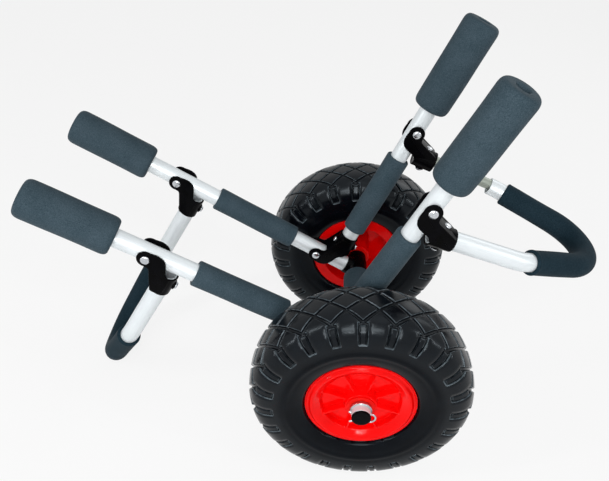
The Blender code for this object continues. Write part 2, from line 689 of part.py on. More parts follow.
def rim_profile():
    """Closed section of the rim: boss, web with pockets outside, ring, flanges and tyre seat."""
    floor = RIM_HALF_WIDTH - RIM_POCKET
    back = floor - RIM_WEB
    seat = RIM_HALF_WIDTH - RIM_FLANGE
    lip = RIM_R - RIM_LIP
    foot = RIM_BOSS_R + RIM_BOSS_DRAFT
    outside = [(BOSS_END, RIM_BORE_R), (BOSS_END, RIM_BOSS_R), (floor, foot)]
    outside += [(floor, RIM_WALL_R - RIM_DRAFT), (RING_FACE, RIM_WALL_R)]
    outside += [(RING_FACE, lip), (RIM_HALF_WIDTH, lip + RIM_LIP_PROUD)]
    outside += [(RIM_HALF_WIDTH, RIM_R - RIM_EDGE), (RIM_HALF_WIDTH - RIM_EDGE, RIM_R), (seat, RIM_SEAT_R)]
    inside = [(-seat, RIM_SEAT_R), (RIM_EDGE - RIM_HALF_WIDTH, RIM_R), (-RIM_HALF_WIDTH, RIM_R - RIM_EDGE)]
    inside += [(-RIM_HALF_WIDTH, RIM_WALL_R + RIM_DRAFT), (back, RIM_WALL_R)]
    inside += [(back, foot), (-BOSS_END, RIM_BOSS_R), (-BOSS_END, RIM_BORE_R)]
    return outside + inside


def rib_star(name):
    """All the ribs as one star-shaped block that runs through the middle of the rim."""
    half = RIB_THICKNESS / 2
    valley = half / math.sin(math.pi / RIB_COUNT)
    reach = RIM_WALL_R + RIM_EDGE / 2
    outline = []
    for k in range(RIB_COUNT):
        angle = 2 * math.pi * (k + 0.5) / RIB_COUNT
        along = Vector((math.cos(angle), math.sin(angle)))
        across = Vector((-along.y, along.x))
        outline += [along * reach - across * half, along * reach + across * half]
        gap = angle + math.pi / RIB_COUNT
        outline.append(Vector((math.cos(gap), math.sin(gap))) * valley)
    low = RIM_HALF_WIDTH - RIM_POCKET - RIM_WEB / 2
    high = RIM_HALF_WIDTH - RIB_SUNK
    bm = bmesh.new()
    face = bm.faces.new([bm.verts.new((p.x, p.y, low)) for p in outline])
    grown = bmesh.ops.extrude_face_region(bm, geom=[face])
    moved = [g for g in grown["geom"] if isinstance(g, bmesh.types.BMVert)]
    bmesh.ops.translate(bm, verts=moved, vec=(0, 0, high - low))
    return finish(name, bm, None)


def make_rim(name, material):
    """Rim with its ribs joined on and its bore cut."""
    thing = turned(name, rim_profile(), WHEEL_SIDES, material)
    combine(thing, rib_star(name + "_ribs"), Matrix(), 'UNION')
    bore = rod(name + "_bore", RIM_BORE_R, -2 * BOSS_END, 2 * BOSS_END, TUBE_SIDES)
    combine(thing, bore, Matrix(), 'DIFFERENCE')
    return thing


def make_wheel(tag, side, body, materials):
    """Tyre, rim and two flanged bushes that turn together."""
    place = at(y=side * TRACK / 2) @ about_y(side)
    bar_at = NEAR_BAR_AT if side < 0 else -FAR_BAR_AT
    body.carry(make_tyre("tyre_" + tag, bar_at, materials["tyre_rubber"]), place)
    body.carry(make_rim("rim_" + tag, materials["red_plastic"]), place)
    inner_end = BUSH_END - BUSH_LENGTH
    bush = [(BUSH_END, TUBE_R + FIT), (BUSH_END, BUSH_FLANGE_R), (BOSS_END + FIT, BUSH_FLANGE_R)]
    bush += [(BOSS_END + FIT, BUSH_R), (inner_end, BUSH_R), (inner_end, TUBE_R + FIT)]
    mirrored = [(-z, r) for z, r in bush]
    body.carry(turned("outer_bush_" + tag, bush, TUBE_SIDES, materials["bearing_plastic"]), place)
    body.carry(turned("inner_bush_" + tag, mirrored, TUBE_SIDES, materials["bearing_plastic"]), place)


def hairpin(name, material):
    """Bent spring wire: one leg through the axle, a round eye, one leg under the axle."""
    turn_r = (TUBE_R + CLIP_WIRE_R + CLIP_PLAY) / 2
    points = [(-TUBE_R - CLIP_PAST, 0.0), (0.0, 0.0)]
    points += arc((TUBE_R, -turn_r), turn_r, 90, -90, 8)
    points += [(0.0, -2 * turn_r), (-0.45 * CLIP_LEG, -2 * turn_r - 0.1 * CLIP_FLARE)]
    points.append((-CLIP_LEG, -2 * turn_r - CLIP_FLARE))
    data = bpy.data.curves.new(name, 'CURVE')
    data.dimensions = '3D'
    data.bevel_depth = CLIP_WIRE_R
    data.bevel_resolution = 1
    data.use_fill_caps = True
    spline = data.splines.new('POLY')
    spline.points.add(len(points) - 1)
    for point, (x, z) in zip(spline.points, points):
        point.co = (x, 0.0, z, 1.0)
    data.materials.append(material)
    thing = bpy.data.objects.new(name, data)
    bpy.context.scene.collection.objects.link(thing)
    return thing


def hub_connector(name, side, arm_place, material):
    """Sleeve round the axle with a stem that plugs into the left arm tube."""
    half = SLEEVE_LENGTH / 2
    place = at(y=side * ARM_SPACING) @ about_y(side)
    thing = rod(name, SLEEVE_R, -half, half, TUBE_SIDES)
    thing.data.materials.append(material)
    spigot_r = BORE_R - FIT
    stem = [(STEM_ROOT, 0.0), (STEM_ROOT, STEM_R), (ARM_FOOT - FIT, STEM_R), (ARM_FOOT - FIT, spigot_r)]
    stem += [(ARM_FOOT + STEM_SPIGOT, spigot_r), (ARM_FOOT + STEM_SPIGOT, 0.0)]
    stem_piece = turned(name + "_stem", stem, TUBE_SIDES, None, closed=False)
    combine(thing, stem_piece, place.inverted() @ arm_place, 'UNION')
    bore = rod(name + "_bore", TUBE_R + FIT, -SLEEVE_LENGTH, SLEEVE_LENGTH, TUBE_SIDES)
    combine(thing, bore, Matrix(), 'DIFFERENCE')
    return thing, place


def make_axle(body, arm_places, materials):
    """Axle tube, its foam, hub connectors, spacers, collars and end caps."""
    axle = turned("axle_tube", tube_profile(-AXLE_HALF, AXLE_HALF), TUBE_SIDES, materials["anodised_tube"])
    axle_place = about_y(1)
    for tag, side in SIDES:
        hole = rod("axle_drill_" + tag, CLIP_WIRE_R + FIT, -2 * TUBE_R, 2 * TUBE_R, 8)
        combine(axle, hole, at(z=side * (TRACK / 2 + CLIP_AT)) @ ALONG_X, 'DIFFERENCE')
    body.carry(axle, axle_place)
    foam_half = ARM_SPACING - SLEEVE_LENGTH / 2 - FIT
    profile = foam_profile(-foam_half, foam_half, AXLE_FOAM_R, TUBE_R + FIT, FOAM_ROUND)
    body.carry(turned("axle_foam_sleeve", profile, TUBE_SIDES, materials["arm_foam"]), axle_place)
    for tag, side in SIDES:
        nylon = materials["black_nylon"]
        connector, place = hub_connector("hub_connector_" + tag, side, arm_places[tag], nylon)
        body.carry(connector, place)
        outward = about_y(side)
        start = ARM_SPACING + SLEEVE_LENGTH / 2 + FIT
        end = TRACK / 2 - BUSH_END - FIT
        spacer = tube_profile(start, end, SPACER_R, TUBE_R + FIT)
        body.carry(turned("wheel_spacer_" + tag, spacer, TUBE_SIDES, nylon), outward)
        start = TRACK / 2 + COLLAR_START
        collar = tube_profile(start, start + COLLAR_LENGTH, COLLAR_R, TUBE_R + FIT)
        body.carry(turned("axle_collar_" + tag, collar, TUBE_SIDES, materials["zinc_steel"]), outward)
        seat = AXLE_HALF + FIT
        cap = [(AXLE_HALF - CAP_BARREL, 0.0), (AXLE_HALF - CAP_BARREL, BORE_R - FIT), (seat, BORE_R - FIT)]
        cap += [(seat, TUBE_R), (seat + 0.6 * CAP_HEAD, TUBE_R), (seat + CAP_HEAD, TUBE_R - CAP_EDGE)]
        cap += [(seat + CAP_HEAD, 0.0)]
        body.carry(turned("axle_cap_" + tag, cap, TUBE_SIDES, nylon, closed=False), outward)


def make_arm(label, tag, place, start, sleeve, grip, body, materials):
    """Arm tube with its thin foam sleeve and its thick foam grip."""
    tube = turned(f"{label}_arm_tube_{tag}", tube_profile(start, grip[1] - GRIP_TIP), TUBE_SIDES,
                  materials["anodised_tube"])
    body.carry(tube, place)
    seat = TUBE_R + FIT
    thin = foam_profile(sleeve[0], sleeve[1], ARM_FOAM_R, seat, FOAM_ROUND)
    body.carry(turned(f"{label}_arm_sleeve_{tag}", thin, TUBE_SIDES, materials["arm_foam"]), place)
    thick = foam_profile(grip[0], grip[1], GRIP_R, seat, GRIP_ROUND, GRIP_TIP - FIT, GRIP_VENT_R)
    body.carry(turned(f"{label}_arm_grip_{tag}", thick, TUBE_SIDES, materials["arm_foam"]), place)
    return tube


def make_hinge(label, hinge, spacing, carrier, carried, toe_degrees, tubes, materials, thin_side=None):
    """A pair of brackets on one hinge line, with their pivot bolts and cross screws."""
    flip = 1 if hinge.to_3x3().col[1].y > 0 else -1
    for tag, side in SIDES:
        outside = side * flip
        place = hinge @ at(y=outside * spacing)
        thin = tag == thin_side
        bore_r = (ROD_R if thin else TUBE_R) + FIT
        shift = ROD_SHIFT if thin else 0.0
        nylon = materials["black_nylon"]
        piece = bracket(f"{label}_bracket_{tag}", toe_degrees, outside, bore_r, shift, nylon)
        carried.carry(piece, place)
        bolt_place = place @ ALONG_Y
        carrier.carry(pivot_bolt(f"{label}_bolt_{tag}", materials["zinc_steel"]), bolt_place)
        tilt = Matrix.Rotation(math.radians(toe_degrees) * outside, 4, 'X')
        screw_place = place @ at(x=-LEG_OFFSET) @ tilt @ at(z=SCREW_AT) @ ALONG_X
        carried.carry(cross_screw(f"{label}_screw_{tag}", materials["zinc_steel"]), screw_place)
        tube, tube_place = tubes[tag]
        drill = rod(f"{tube.name}_screw_drill_{tag}", SCREW_R + FIT, -LEG_OFFSET, LEG_OFFSET)
        combine(tube, drill, tube_place.inverted() @ screw_place, 'DIFFERENCE')


def make_u_bar(label, hinge, path, body, materials, spliced):
    """U-bar tube and its foam; a spliced one starts past its thin rod."""
    start = SPLICE if spliced else CARRIED_START
    stations = path.stations(start, path.length - CARRIED_START, -LEG_OFFSET)
    tube = swept(f"{label}_u_tube", stations, TUBE_R, BORE_R, TUBE_SIDES, materials["anodised_tube"])
    body.carry(tube, hinge)
    stations, radii = leg_sections(path, U_FOAM_START, path.length - U_FOAM_START, -LEG_OFFSET)
    foam = swept(f"{label}_u_foam", stations, radii, TUBE_R + FIT, TUBE_SIDES, materials["arm_foam"])
    body.carry(foam, hinge)
    if not spliced:
        return tube, tube
    stations = path.stations(CARRIED_START, SPLICE + ROD_OVERLAP, -LEG_OFFSET + ROD_SHIFT)
    solid = swept(f"{label}_u_rod", stations, ROD_R, None, TUBE_SIDES, materials["anodised_tube"])
    body.carry(solid, hinge)
    return tube, solid


def left_arm_heading(reach):
    """Direction of the left arm at which the wheels and the left U-bar's nose share the ground."""
    bolt = heading(0) * LEFT_BOLT
    leg = heading(LEFT_U_ANGLE)
    nose = bolt - heading(LEFT_U_ANGLE - 90) * LEG_OFFSET + leg * reach
    own = math.atan2(nose.z, nose.x)
    drop = (TYRE_R - U_FOAM_R) / nose.length
    return math.degrees(math.pi + math.asin(drop) - own)


def build():
    """Make every piece, then stand the cart on the ground."""
    clear_scene()
    materials = make_materials()
    left_path = LegPath(LEFT_BOLT_SPACING, LEFT_LEG_DRAW, LEFT_CONVERGING)
    right_path = LegPath(RIGHT_BOLT_SPACING, RIGHT_LEG_DRAW, RIGHT_CONVERGING)
    left_heading = left_arm_heading(left_path.reach)
    right_heading = left_heading - FRAME_OPENING
    left_u_heading = left_heading + LEFT_U_ANGLE
    right_u_heading = right_heading - RIGHT_U_ANGLE

    cart = Body("cart", Matrix())
    origin = Vector((0, 0, 0))
    left_arms = {}
    for tag, side in SIDES:
        left_arms[tag] = arm_frame(origin, left_heading, side, ARM_SPACING, LEFT_SPLAY)

    def hinge_point(arm_place, distance):
        point = arm_place @ Vector((0, 0, distance))
        return Vector((point.x, 0.0, point.z))

    inner_hinge = hinge_frame(hinge_point(left_arms["near"], INNER_BOLT), right_heading, right_heading + 90)
    left_hinge = hinge_frame(hinge_point(left_arms["near"], LEFT_BOLT), left_u_heading, left_u_heading - 90)
    foot = inner_hinge @ Vector((-LEG_OFFSET, 0, 0))
    right_arms = {}
    for tag, side in SIDES:
        right_arms[tag] = arm_frame(foot, right_heading, side, INNER_SPACING, RIGHT_SPLAY)
    right_point = hinge_point(right_arms["near"], RIGHT_BOLT)
    right_hinge = hinge_frame(right_point, right_u_heading, right_u_heading + 90)

    left_u = Body("left_u_fold", left_hinge, cart)
    right_frame = Body("right_arm_fold", inner_hinge, cart)
    right_u = Body("right_u_fold", right_hinge, right_frame)

    make_axle(cart, left_arms, materials)
    for tag, side in SIDES:
        wheel = Body("wheel_" + tag, at(y=side * TRACK / 2), cart)
        make_wheel(tag, side, wheel, materials)
        clip_place = at(y=side * (TRACK / 2 + CLIP_AT))
        slide = Body("clip_slide_" + tag, clip_place, cart)
        slide.carry(hairpin("hairpin_clip_" + tag, materials["zinc_steel"]), clip_place)

    right_tubes = {}
    for tag, side in SIDES:
        tube = make_arm("left", tag, left_arms[tag], ARM_FOOT, LEFT_SLEEVE, LEFT_GRIP, cart, materials)
        bolt_hole(tube, left_arms[tag], inner_hinge)
        bolt_hole(tube, left_arms[tag], left_hinge)
        tube = make_arm("right", tag, right_arms[tag], CARRIED_START, RIGHT_SLEEVE, RIGHT_GRIP, right_frame,
                        materials)
        bolt_hole(tube, right_arms[tag], right_hinge)
        right_tubes[tag] = (tube, right_arms[tag])
    make_hinge("inner", inner_hinge, INNER_SPACING, cart, right_frame, -RIGHT_SPLAY, right_tubes, materials)

    near_end, far_end = make_u_bar("left", left_hinge, left_path, left_u, materials, False)
    tubes = {"near": (near_end, left_hinge), "far": (far_end, left_hinge)}
    make_hinge("left", left_hinge, LEFT_BOLT_SPACING, cart, left_u, math.degrees(left_path.toe),
               tubes, materials)
    near_end, far_end = make_u_bar("right", right_hinge, right_path, right_u, materials, True)
    tubes = {"near": (near_end, right_hinge), "far": (far_end, right_hinge)}
    make_hinge("right", right_hinge, RIGHT_BOLT_SPACING, right_frame, right_u, math.degrees(right_path.toe),
               tubes, materials, thin_side="far")

    stand_on_ground(cart)


def stand_on_ground(cart):
    """Shift the cart so that the origin is on the ground under its middle."""
    bpy.context.view_layer.update()
    graph = bpy.context.evaluated_depsgraph_get()
    low = Vector((1e9, 1e9, 1e9))
    high = -low
    for thing in bpy.data.objects:
        if thing.type not in {'MESH', 'CURVE'} or thing.hide_render:
            continue
        seen = thing.evaluated_get(graph)
        mesh = seen.to_mesh()
        for vertex in mesh.vertices:
            point = seen.matrix_world @ vertex.co
            low = Vector(map(min, low, point))
            high = Vector(map(max, high, point))
        seen.to_mesh_clear()
    cart.empty.location -= Vector(((low.x + high.x) / 2, (low.y + high.y) / 2, low.z))
    bpy.context.view_layer.update()


build()
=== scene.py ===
# %% [markdown]
# # A folding cart for two paddleboards
# The cart has two knobbly wheels on one axle, a pair of padded arms that lie to the left, a
# second pair that stands up, and a padded U-bar hinged to each pair. A solid model of it gives
# every place and size. This lesson dresses that model: each step makes one kind of piece with a
# formula, and gives it a material made from noise and ramps instead of pictures.

# %% Load the solid model
import json

import bpy
import numpy as np
from mathutils import Matrix


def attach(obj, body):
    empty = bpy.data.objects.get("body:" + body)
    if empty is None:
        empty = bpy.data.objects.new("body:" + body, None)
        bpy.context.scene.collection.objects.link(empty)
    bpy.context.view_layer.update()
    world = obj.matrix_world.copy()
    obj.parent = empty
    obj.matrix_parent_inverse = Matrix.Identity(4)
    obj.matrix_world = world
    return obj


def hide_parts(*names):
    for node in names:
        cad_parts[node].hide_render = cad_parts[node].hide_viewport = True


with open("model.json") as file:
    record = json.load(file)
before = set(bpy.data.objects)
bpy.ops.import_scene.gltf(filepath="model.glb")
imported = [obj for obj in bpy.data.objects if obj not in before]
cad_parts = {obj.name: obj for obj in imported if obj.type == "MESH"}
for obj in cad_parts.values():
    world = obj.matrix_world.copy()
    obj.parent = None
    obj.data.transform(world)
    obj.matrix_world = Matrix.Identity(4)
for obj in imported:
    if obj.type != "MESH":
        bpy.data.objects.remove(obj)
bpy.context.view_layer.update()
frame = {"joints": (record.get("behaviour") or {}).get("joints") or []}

# %% [markdown]
# The joints of the solid model say where the pivots are. The directions of the arms could be
# typed in as well, but then they would stay behind when the model changes. So one direction is
# measured from the axle to a pivot, and the others follow from it by the angles at which the
# frames stand open. FIT is the clearance between two pieces that fit together. Other sizes, such
# as a wall, are written next to the piece they belong to.

# %% Pivots and directions
FIT = 0.0003
TUBE_R, BORE_R = 0.0110, 0.0095
FRAME_OPENING, LEFT_U_ANGLE, RIGHT_U_ANGLE = 86.6, 88.9, 85.1
SIDES = {"near": -1, "far": 1}
pivot = {joint["name"]: np.array(joint["pos_m"], float) for joint in frame["joints"]}
axle_centre = (pivot["wheel_spin_near"] + pivot["wheel_spin_far"]) / 2
HALF_TRACK = pivot["wheel_spin_far"][1]


def angle_between(start, end):
    """Direction from one pivot to another in the XZ plane, in degrees from +X towards +Z."""
    step = end - start
    return np.degrees(np.arctan2(step[2], step[0]))


def heading(degrees):
    """Unit vector in the XZ plane."""
    return np.array([np.cos(np.radians(degrees)), 0.0, np.sin(np.radians(degrees))])


left_heading = angle_between(axle_centre, pivot["left_u_fold"])
right_heading = left_heading - FRAME_OPENING
left_u_heading = left_heading + LEFT_U_ANGLE
right_u_heading = right_heading - RIGHT_U_ANGLE
print("left arms", round(left_heading, 2), "right arms", round(right_heading, 2), "degrees")

# %% [markdown]
# A piece is drawn where it is easy, around its own Z axis, and then carried to its place on the
# cart by a 4 by 4 matrix. An object could hold that matrix too, but here the mesh itself holds
# the place, so that a pattern on Object coordinates stays put.

# %% Placements
def placement(origin, z_axis, x_hint):
    """4 by 4 matrix whose Z runs along z_axis and whose X lies close to x_hint."""
    z = np.array(z_axis, float) / np.linalg.norm(z_axis)
    x = np.array(x_hint, float) - z * np.dot(z, x_hint)
    x /= np.linalg.norm(x)
    made = np.eye(4)
    made[:3, :3] = np.stack((x, np.cross(z, x), z), axis=1)
    made[:3, 3] = origin
    return made


def shifted(place, x=0.0, y=0.0, z=0.0):
    """The same placement, moved along its own axes."""
    step = np.eye(4)
    step[:3, 3] = (x, y, z)
    return place @ step


def tilted(place, degrees):
    """The same placement, turned about its own X axis."""
    c, s = np.cos(np.radians(degrees)), np.sin(np.radians(degrees))
    turn = np.eye(4)
    turn[1:3, 1:3] = ((c, -s), (s, c))
    return place @ turn


# Turn local Z to run along local Y, or along local X
ALONG_Y = placement((0, 0, 0), (0, 1, 0), (1, 0, 0))
ALONG_X = placement((0, 0, 0), (1, 0, 0), (0, 0, -1))

# %% [markdown]
# Every new piece starts as a grid of points: one number runs along the grid's rows and one
# across its columns, and four neighbours make a face. A grid that closes on itself both ways is
# a ring or a hollow tube. One that closes only around gets a cap on each end. The pattern map
# (UV) holds the turn around the piece, from 0 to 1, and the distance along it in metres.

# %% From a grid of points to faces
def running_sum(steps):
    """Sum of the first 0, 1, 2 and so on of the steps, up to all of them."""
    return np.concatenate(([0], np.cumsum(steps)))


def surface(grid, close_rows=False, split=False):
    """Vertices, corners and pattern map of a grid whose columns run around the piece.

    Face (i, j) joins the points (i, j), (i, j+1), (i+1, j+1) and (i+1, j); split cuts it in two
    from (i, j+1) to (i+1, j). The sum of p0 . (p1 x p2) over all faces is six times the volume,
    so its sign tells inside from outside.
    """
    rows, cols = grid.shape[:2]
    index = np.arange(rows * cols).reshape(rows, cols)
    index = np.hstack((index, index[:, :1]))
    if close_rows:
        index = np.vstack((index, index[:1]))
    points = grid.reshape(-1, 3)
    along = running_sum(np.linalg.norm(points[index[1:, 0]] - points[index[:-1, 0]], axis=1))
    around = np.linspace(0, 1, cols + 1)
    uv = np.stack(np.broadcast_arrays(around[None, :], along[:, None]), axis=-1)
    low, high = slice(None, -1), slice(1, None)
    corners = ((low, low), (low, high), (high, high), (high, low))
    quads = np.stack([index[corner] for corner in corners], axis=-1).reshape(-1, 4)
    quad_uv = np.stack([uv[corner] for corner in corners], axis=-2).reshape(-1, 4, 2)
    faces, maps = [quads], [quad_uv]
    if split:
        halves = ([0, 1, 3], [1, 2, 3])
        faces = [quads[:, half] for half in halves]
        maps = [quad_uv[:, half] for half in halves]
    if not close_rows:
        faces += [index[:1, :-1][:, ::-1], index[-1:, :-1]]
        maps += [uv[:1, :-1][:, ::-1], uv[-1:, :-1]]
    volume = 0.0
    for face in faces:
        p = points[face]
        volume += np.einsum("ij,ikj->", p[:, 0], np.cross(p[:, 1:-1], p[:, 2:]))
    if volume < 0:
        faces = [face[:, ::-1] for face in faces]
        maps = [uv_map[:, ::-1] for uv_map in maps]
    return points, faces, maps


# %% From faces to a piece that rides on its body
def make_piece(name, parts, material, body, nodes, sharp=35.0):
    """One object from one or more surfaces, with its place in its mesh."""
    mesh = bpy.data.meshes.new(name)
    points = np.concatenate([part[0] for part in parts])
    starts = running_sum([len(part[0]) for part in parts])
    faces = [face + start for part, start in zip(parts, starts) for face in part[1]]
    maps = [uv_map.reshape(-1) for part in parts for uv_map in part[2]]
    totals = np.concatenate([np.full(len(face), face.shape[1]) for face in faces])
    corners = np.concatenate([face.ravel() for face in faces])
    mesh.vertices.add(len(points))
    mesh.vertices.foreach_set("co", points.astype(np.float32).ravel())
    mesh.loops.add(len(corners))
    mesh.loops.foreach_set("vertex_index", corners.astype(np.int32))
    mesh.polygons.add(len(totals))
    mesh.polygons.foreach_set("loop_start", running_sum(totals)[:-1].astype(np.int32))
    mesh.polygons.foreach_set("loop_total", totals.astype(np.int32))
    mesh.update(calc_edges=True)
    uv_layer = mesh.uv_layers.new(name="around_and_along")
    uv_layer.data.foreach_set("uv", np.concatenate(maps).astype(np.float32))
    mesh.shade_smooth()
    mesh.set_sharp_from_angle(angle=np.radians(sharp))
    mesh.materials.append(material)
    piece = bpy.data.objects.new(name, mesh)
    bpy.context.scene.collection.objects.link(piece)
    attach(piece, body)
    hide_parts(*nodes)
    return piece


# %% [markdown]
# Nearly all pieces of the cart are round: tubes, sleeves, collars, bolts, rims and tyres. Blender's
# own cylinders with a Bevel would do for the plain ones. Here a profile with soft corners is
# turned, or a circle is carried along a line, so one short recipe serves the plain pieces and the
# bent ones, and every edge gets its own rounding.

# %% Soft corners
JUST_PAST, HALF_EDGE, TINY = 1.3, 0.49, 1e-9


def soften(profile, radius, closed=True, steps=4):
    """Round each corner C of a profile.

    The corner becomes (1-t)^2 A + 2t(1-t) C + t^2 B, where A and B lie one radius away from C
    on its two edges. A point just past A and B keeps the flats flat.
    """
    p = np.array(profile, float)
    reach = np.broadcast_to(np.asarray(radius, float), len(p))[:, None]

    def towards(q, share):
        """Point on the edge from p to q, a share of the radius away but short of the middle."""
        gap = q - p
        length = np.linalg.norm(gap, axis=1, keepdims=True)
        return p + gap / np.maximum(length, TINY) * np.minimum(share * reach, HALF_EDGE * length)

    before, after = np.roll(p, 1, axis=0), np.roll(p, -1, axis=0)
    a, b = towards(before, 1.0)[:, None], towards(after, 1.0)[:, None]
    t = np.linspace(0, 1, steps + 1)[None, :, None]
    curve = (1 - t) ** 2 * a + 2 * t * (1 - t) * p[:, None] + t ** 2 * b
    first, last = (towards(q, JUST_PAST)[:, None] for q in (before, after))
    curve = np.concatenate((first, curve, last), axis=1)
    if closed:
        return curve.reshape(-1, 2)
    return np.concatenate((p[:1], curve[1:-1].reshape(-1, 2), p[-1:]))


# %% Turned pieces and swept pieces
def angles(sides):
    """Angles once around, without the last, which would be the first again."""
    return np.linspace(0, 2 * np.pi, sides, endpoint=False)


def round_points(height, radius, a):
    """Points x = r cos a, y = r sin a and z = height."""
    return np.stack(np.broadcast_arrays(radius * np.cos(a), radius * np.sin(a), height), axis=-1)


def place_points(local, place):
    """Local points carried to the cart by a placement."""
    return local @ place[:3, :3].T + place[:3, 3]


def turned(profile, place, sides=64, closed=True):
    """Turn (height, radius) points: x = r cos a, y = r sin a, z = height."""
    height, radius = np.asarray(profile).T[..., None]
    local = round_points(height, radius, angles(sides))
    return surface(place_points(local, place), close_rows=closed)


def swept(places, radii, sides=48, closed=True):
    """Carry a circle through a row of placements: centre + r (X cos a + Y sin a)."""
    a = angles(sides)
    circle = np.stack((np.cos(a), np.sin(a)), axis=-1)
    spokes = circle @ places[:, :3, :2].transpose(0, 2, 1)
    grid = places[:, None, :3, 3] + np.asarray(radii)[:, None, None] * spokes
    return surface(grid, close_rows=closed)


def tube_profile(start, end, outer=TUBE_R, inner=BORE_R, edge=0.0003):
    """Wall of a plain tube, its ends slightly rounded."""
    return soften([(start, inner), (start, outer), (end, outer), (end, inner)], edge)


# %% [markdown]
# ## Materials
# Each finish is a Principled shader whose colour, roughness and small relief come from noise.
# Pictures could give them too, but noise has no seams and no fixed size. Object coordinates are
# in metres here, so a noise scale of 1000 makes marks of about a millimetre. What runs along a
# tube, such as its drawing lines, reads the pattern map instead.

# %% New materials and nodes
def new_material(name, colour, roughness, metallic=0.0, **constants):
    """Material with its constant values set on the shader's own sockets."""
    material = bpy.data.materials.new(name)
    material.use_nodes = True
    shader = material.node_tree.nodes["Principled BSDF"]
    shader.inputs["Base Color"].default_value = (*colour, 1.0)
    shader.inputs["Roughness"].default_value = roughness
    shader.inputs["Metallic"].default_value = metallic
    for socket, value in constants.items():
        shader.inputs[socket.replace("_", " ")].default_value = value
    return material, material.node_tree, shader


def add_node(tree, kind, **settings):
    """New node; a capital setting is an input socket, a small one belongs to the node itself."""
    node = tree.nodes.new("ShaderNode" + kind)
    for name, value in settings.items():
        if name[0].isupper():
            node.inputs[name.replace("_", " ")].default_value = value
        else:
            setattr(node, name, value)
    return node


# %% Noise, ranges and ramps
def noise(tree, scale, detail=3.0, stretch=None, coordinates="Object"):
    """Noise on object or pattern coordinates, stretched where an axis has a small factor."""
    source = add_node(tree, "TexCoord").outputs[coordinates]
    if stretch is not None:
        mapping = add_node(tree, "Mapping", Scale=stretch)
        tree.links.new(source, mapping.inputs["Vector"])
        source = mapping.outputs["Vector"]
    node = add_node(tree, "TexNoise", Scale=scale, Detail=detail)
    tree.links.new(source, node.inputs["Vector"])
    return node.outputs["Fac"]


def spread(tree, factor, low, high):
    """Map a 0 to 1 factor to a range of values."""
    node = add_node(tree, "MapRange", To_Min=low, To_Max=high)
    tree.links.new(factor, node.inputs["Value"])
    return node.outputs["Result"]


def mixed(tree, first, second, share):
    """(1 - share) of the first factor and share of the second."""
    node = add_node(tree, "MapRange", Value=share)
    tree.links.new(first, node.inputs["To Min"])
    tree.links.new(second, node.inputs["To Max"])
    return node.outputs["Result"]


def ramp(tree, factor, dark, light, start=0.3, end=0.7):
    """Colour that goes from dark to light while the factor goes from start to end."""
    node = add_node(tree, "ValToRGB")
    elements = list(node.color_ramp.elements)
    for element, position, colour in zip(elements, (start, end), (dark, light)):
        element.position = position
        element.color = (*colour, 1.0)
    tree.links.new(factor, node.inputs["Fac"])
    return node.outputs["Color"]


# %% Colour, roughness and relief from a factor
def tint(tree, shader, factor, dark, light, start=0.3, end=0.7):
    """The ramp's colour as the shader's own."""
    colour = ramp(tree, factor, dark, light, start, end)
    tree.links.new(colour, shader.inputs["Base Color"])


def dull(tree, shader, factor, low, high):
    """Roughness between low and high."""
    tree.links.new(spread(tree, factor, low, high), shader.inputs["Roughness"])


def relief(tree, shader, height, strength, distance, under=None):
    """Bump from a height, on top of another bump if there is one."""
    node = add_node(tree, "Bump", Strength=strength, Distance=distance)
    tree.links.new(height, node.inputs["Height"])
    if under is not None:
        tree.links.new(under, node.inputs["Normal"])
    tree.links.new(node.outputs["Normal"], shader.inputs["Normal"])
    return node.outputs["Normal"]


# %% [markdown]
# The foam is closed-cell rubber foam, dark slate blue with light and dark speckles. The U-bars
# get a darker copy of it, which is painted shade. Up close its skin is pebbled with burst cells
# of about a millimetre, and it has a dry sheen. Real cells could be modelled, but there are far
# too many: Voronoi cells in the relief give the pebbles, a fine noise gives the speckles, and a
# large soft one makes the colour drift a little along a grip.

# %% Foam
def foam_material(name, dark, light, sheen):
    """Speckled foam between two colours."""
    middle = tuple(np.add(dark, light) / 2)
    material, tree, shader = new_material(name, middle, 0.72, Sheen_Weight=sheen,
                                          Sheen_Roughness=0.45, Specular_IOR_Level=0.06)
    patches, speckles = noise(tree, 38.0, detail=4.0), noise(tree, 1000.0, detail=2.0)
    shade = mixed(tree, patches, speckles, share=0.75)
    tint(tree, shader, shade, dark, light, start=0.36, end=0.64)
    dull(tree, shader, noise(tree, 420.0), low=0.62, high=0.84)
    cells = add_node(tree, "TexVoronoi", Scale=900.0)
    tree.links.new(add_node(tree, "TexCoord").outputs["Object"], cells.inputs["Vector"])
    pebbles = relief(tree, shader, cells.outputs["Distance"], strength=0.30, distance=0.0005)
    dents = noise(tree, 260.0, detail=5.0)
    relief(tree, shader, dents, strength=0.20, distance=0.0007, under=pebbles)
    print(name, "with", len(tree.nodes), "nodes")
    return material


foam = foam_material("foam_skin", (0.028, 0.050, 0.064), (0.062, 0.092, 0.114), sheen=0.05)
# A darker copy of the same foam for the U-bars: painted shade.
shaded_bar_foam = foam_material("bar_foam_skin", (0.006, 0.017, 0.025), (0.017, 0.035, 0.048), sheen=0.02)

# %% [markdown]
# The tubes are drawn aluminium with a clear satin anodised skin: pale, almost white under soft
# light, with hair lines along the tube. Noise on the pattern map gives the lines, dense around
# the tube and very long along it. On Object coordinates they would run off a bent tube. The thin
# rod has the same lines in a darker, greenish grey.

# %% Anodised tube and grey rod
tube_skin, tree, shader = new_material("anodised_tube_skin", (0.80, 0.84, 0.86), 0.38, 0.28,
                                       Specular_IOR_Level=0.4)
lines = noise(tree, 30.0, detail=4.0, stretch=(9.0, 1.2, 1.0), coordinates="UV")
tint(tree, shader, lines, (0.72, 0.77, 0.80), (0.82, 0.87, 0.89), start=0.35, end=0.65)
dull(tree, shader, lines, low=0.31, high=0.46)
relief(tree, shader, lines, strength=0.05, distance=0.0001)

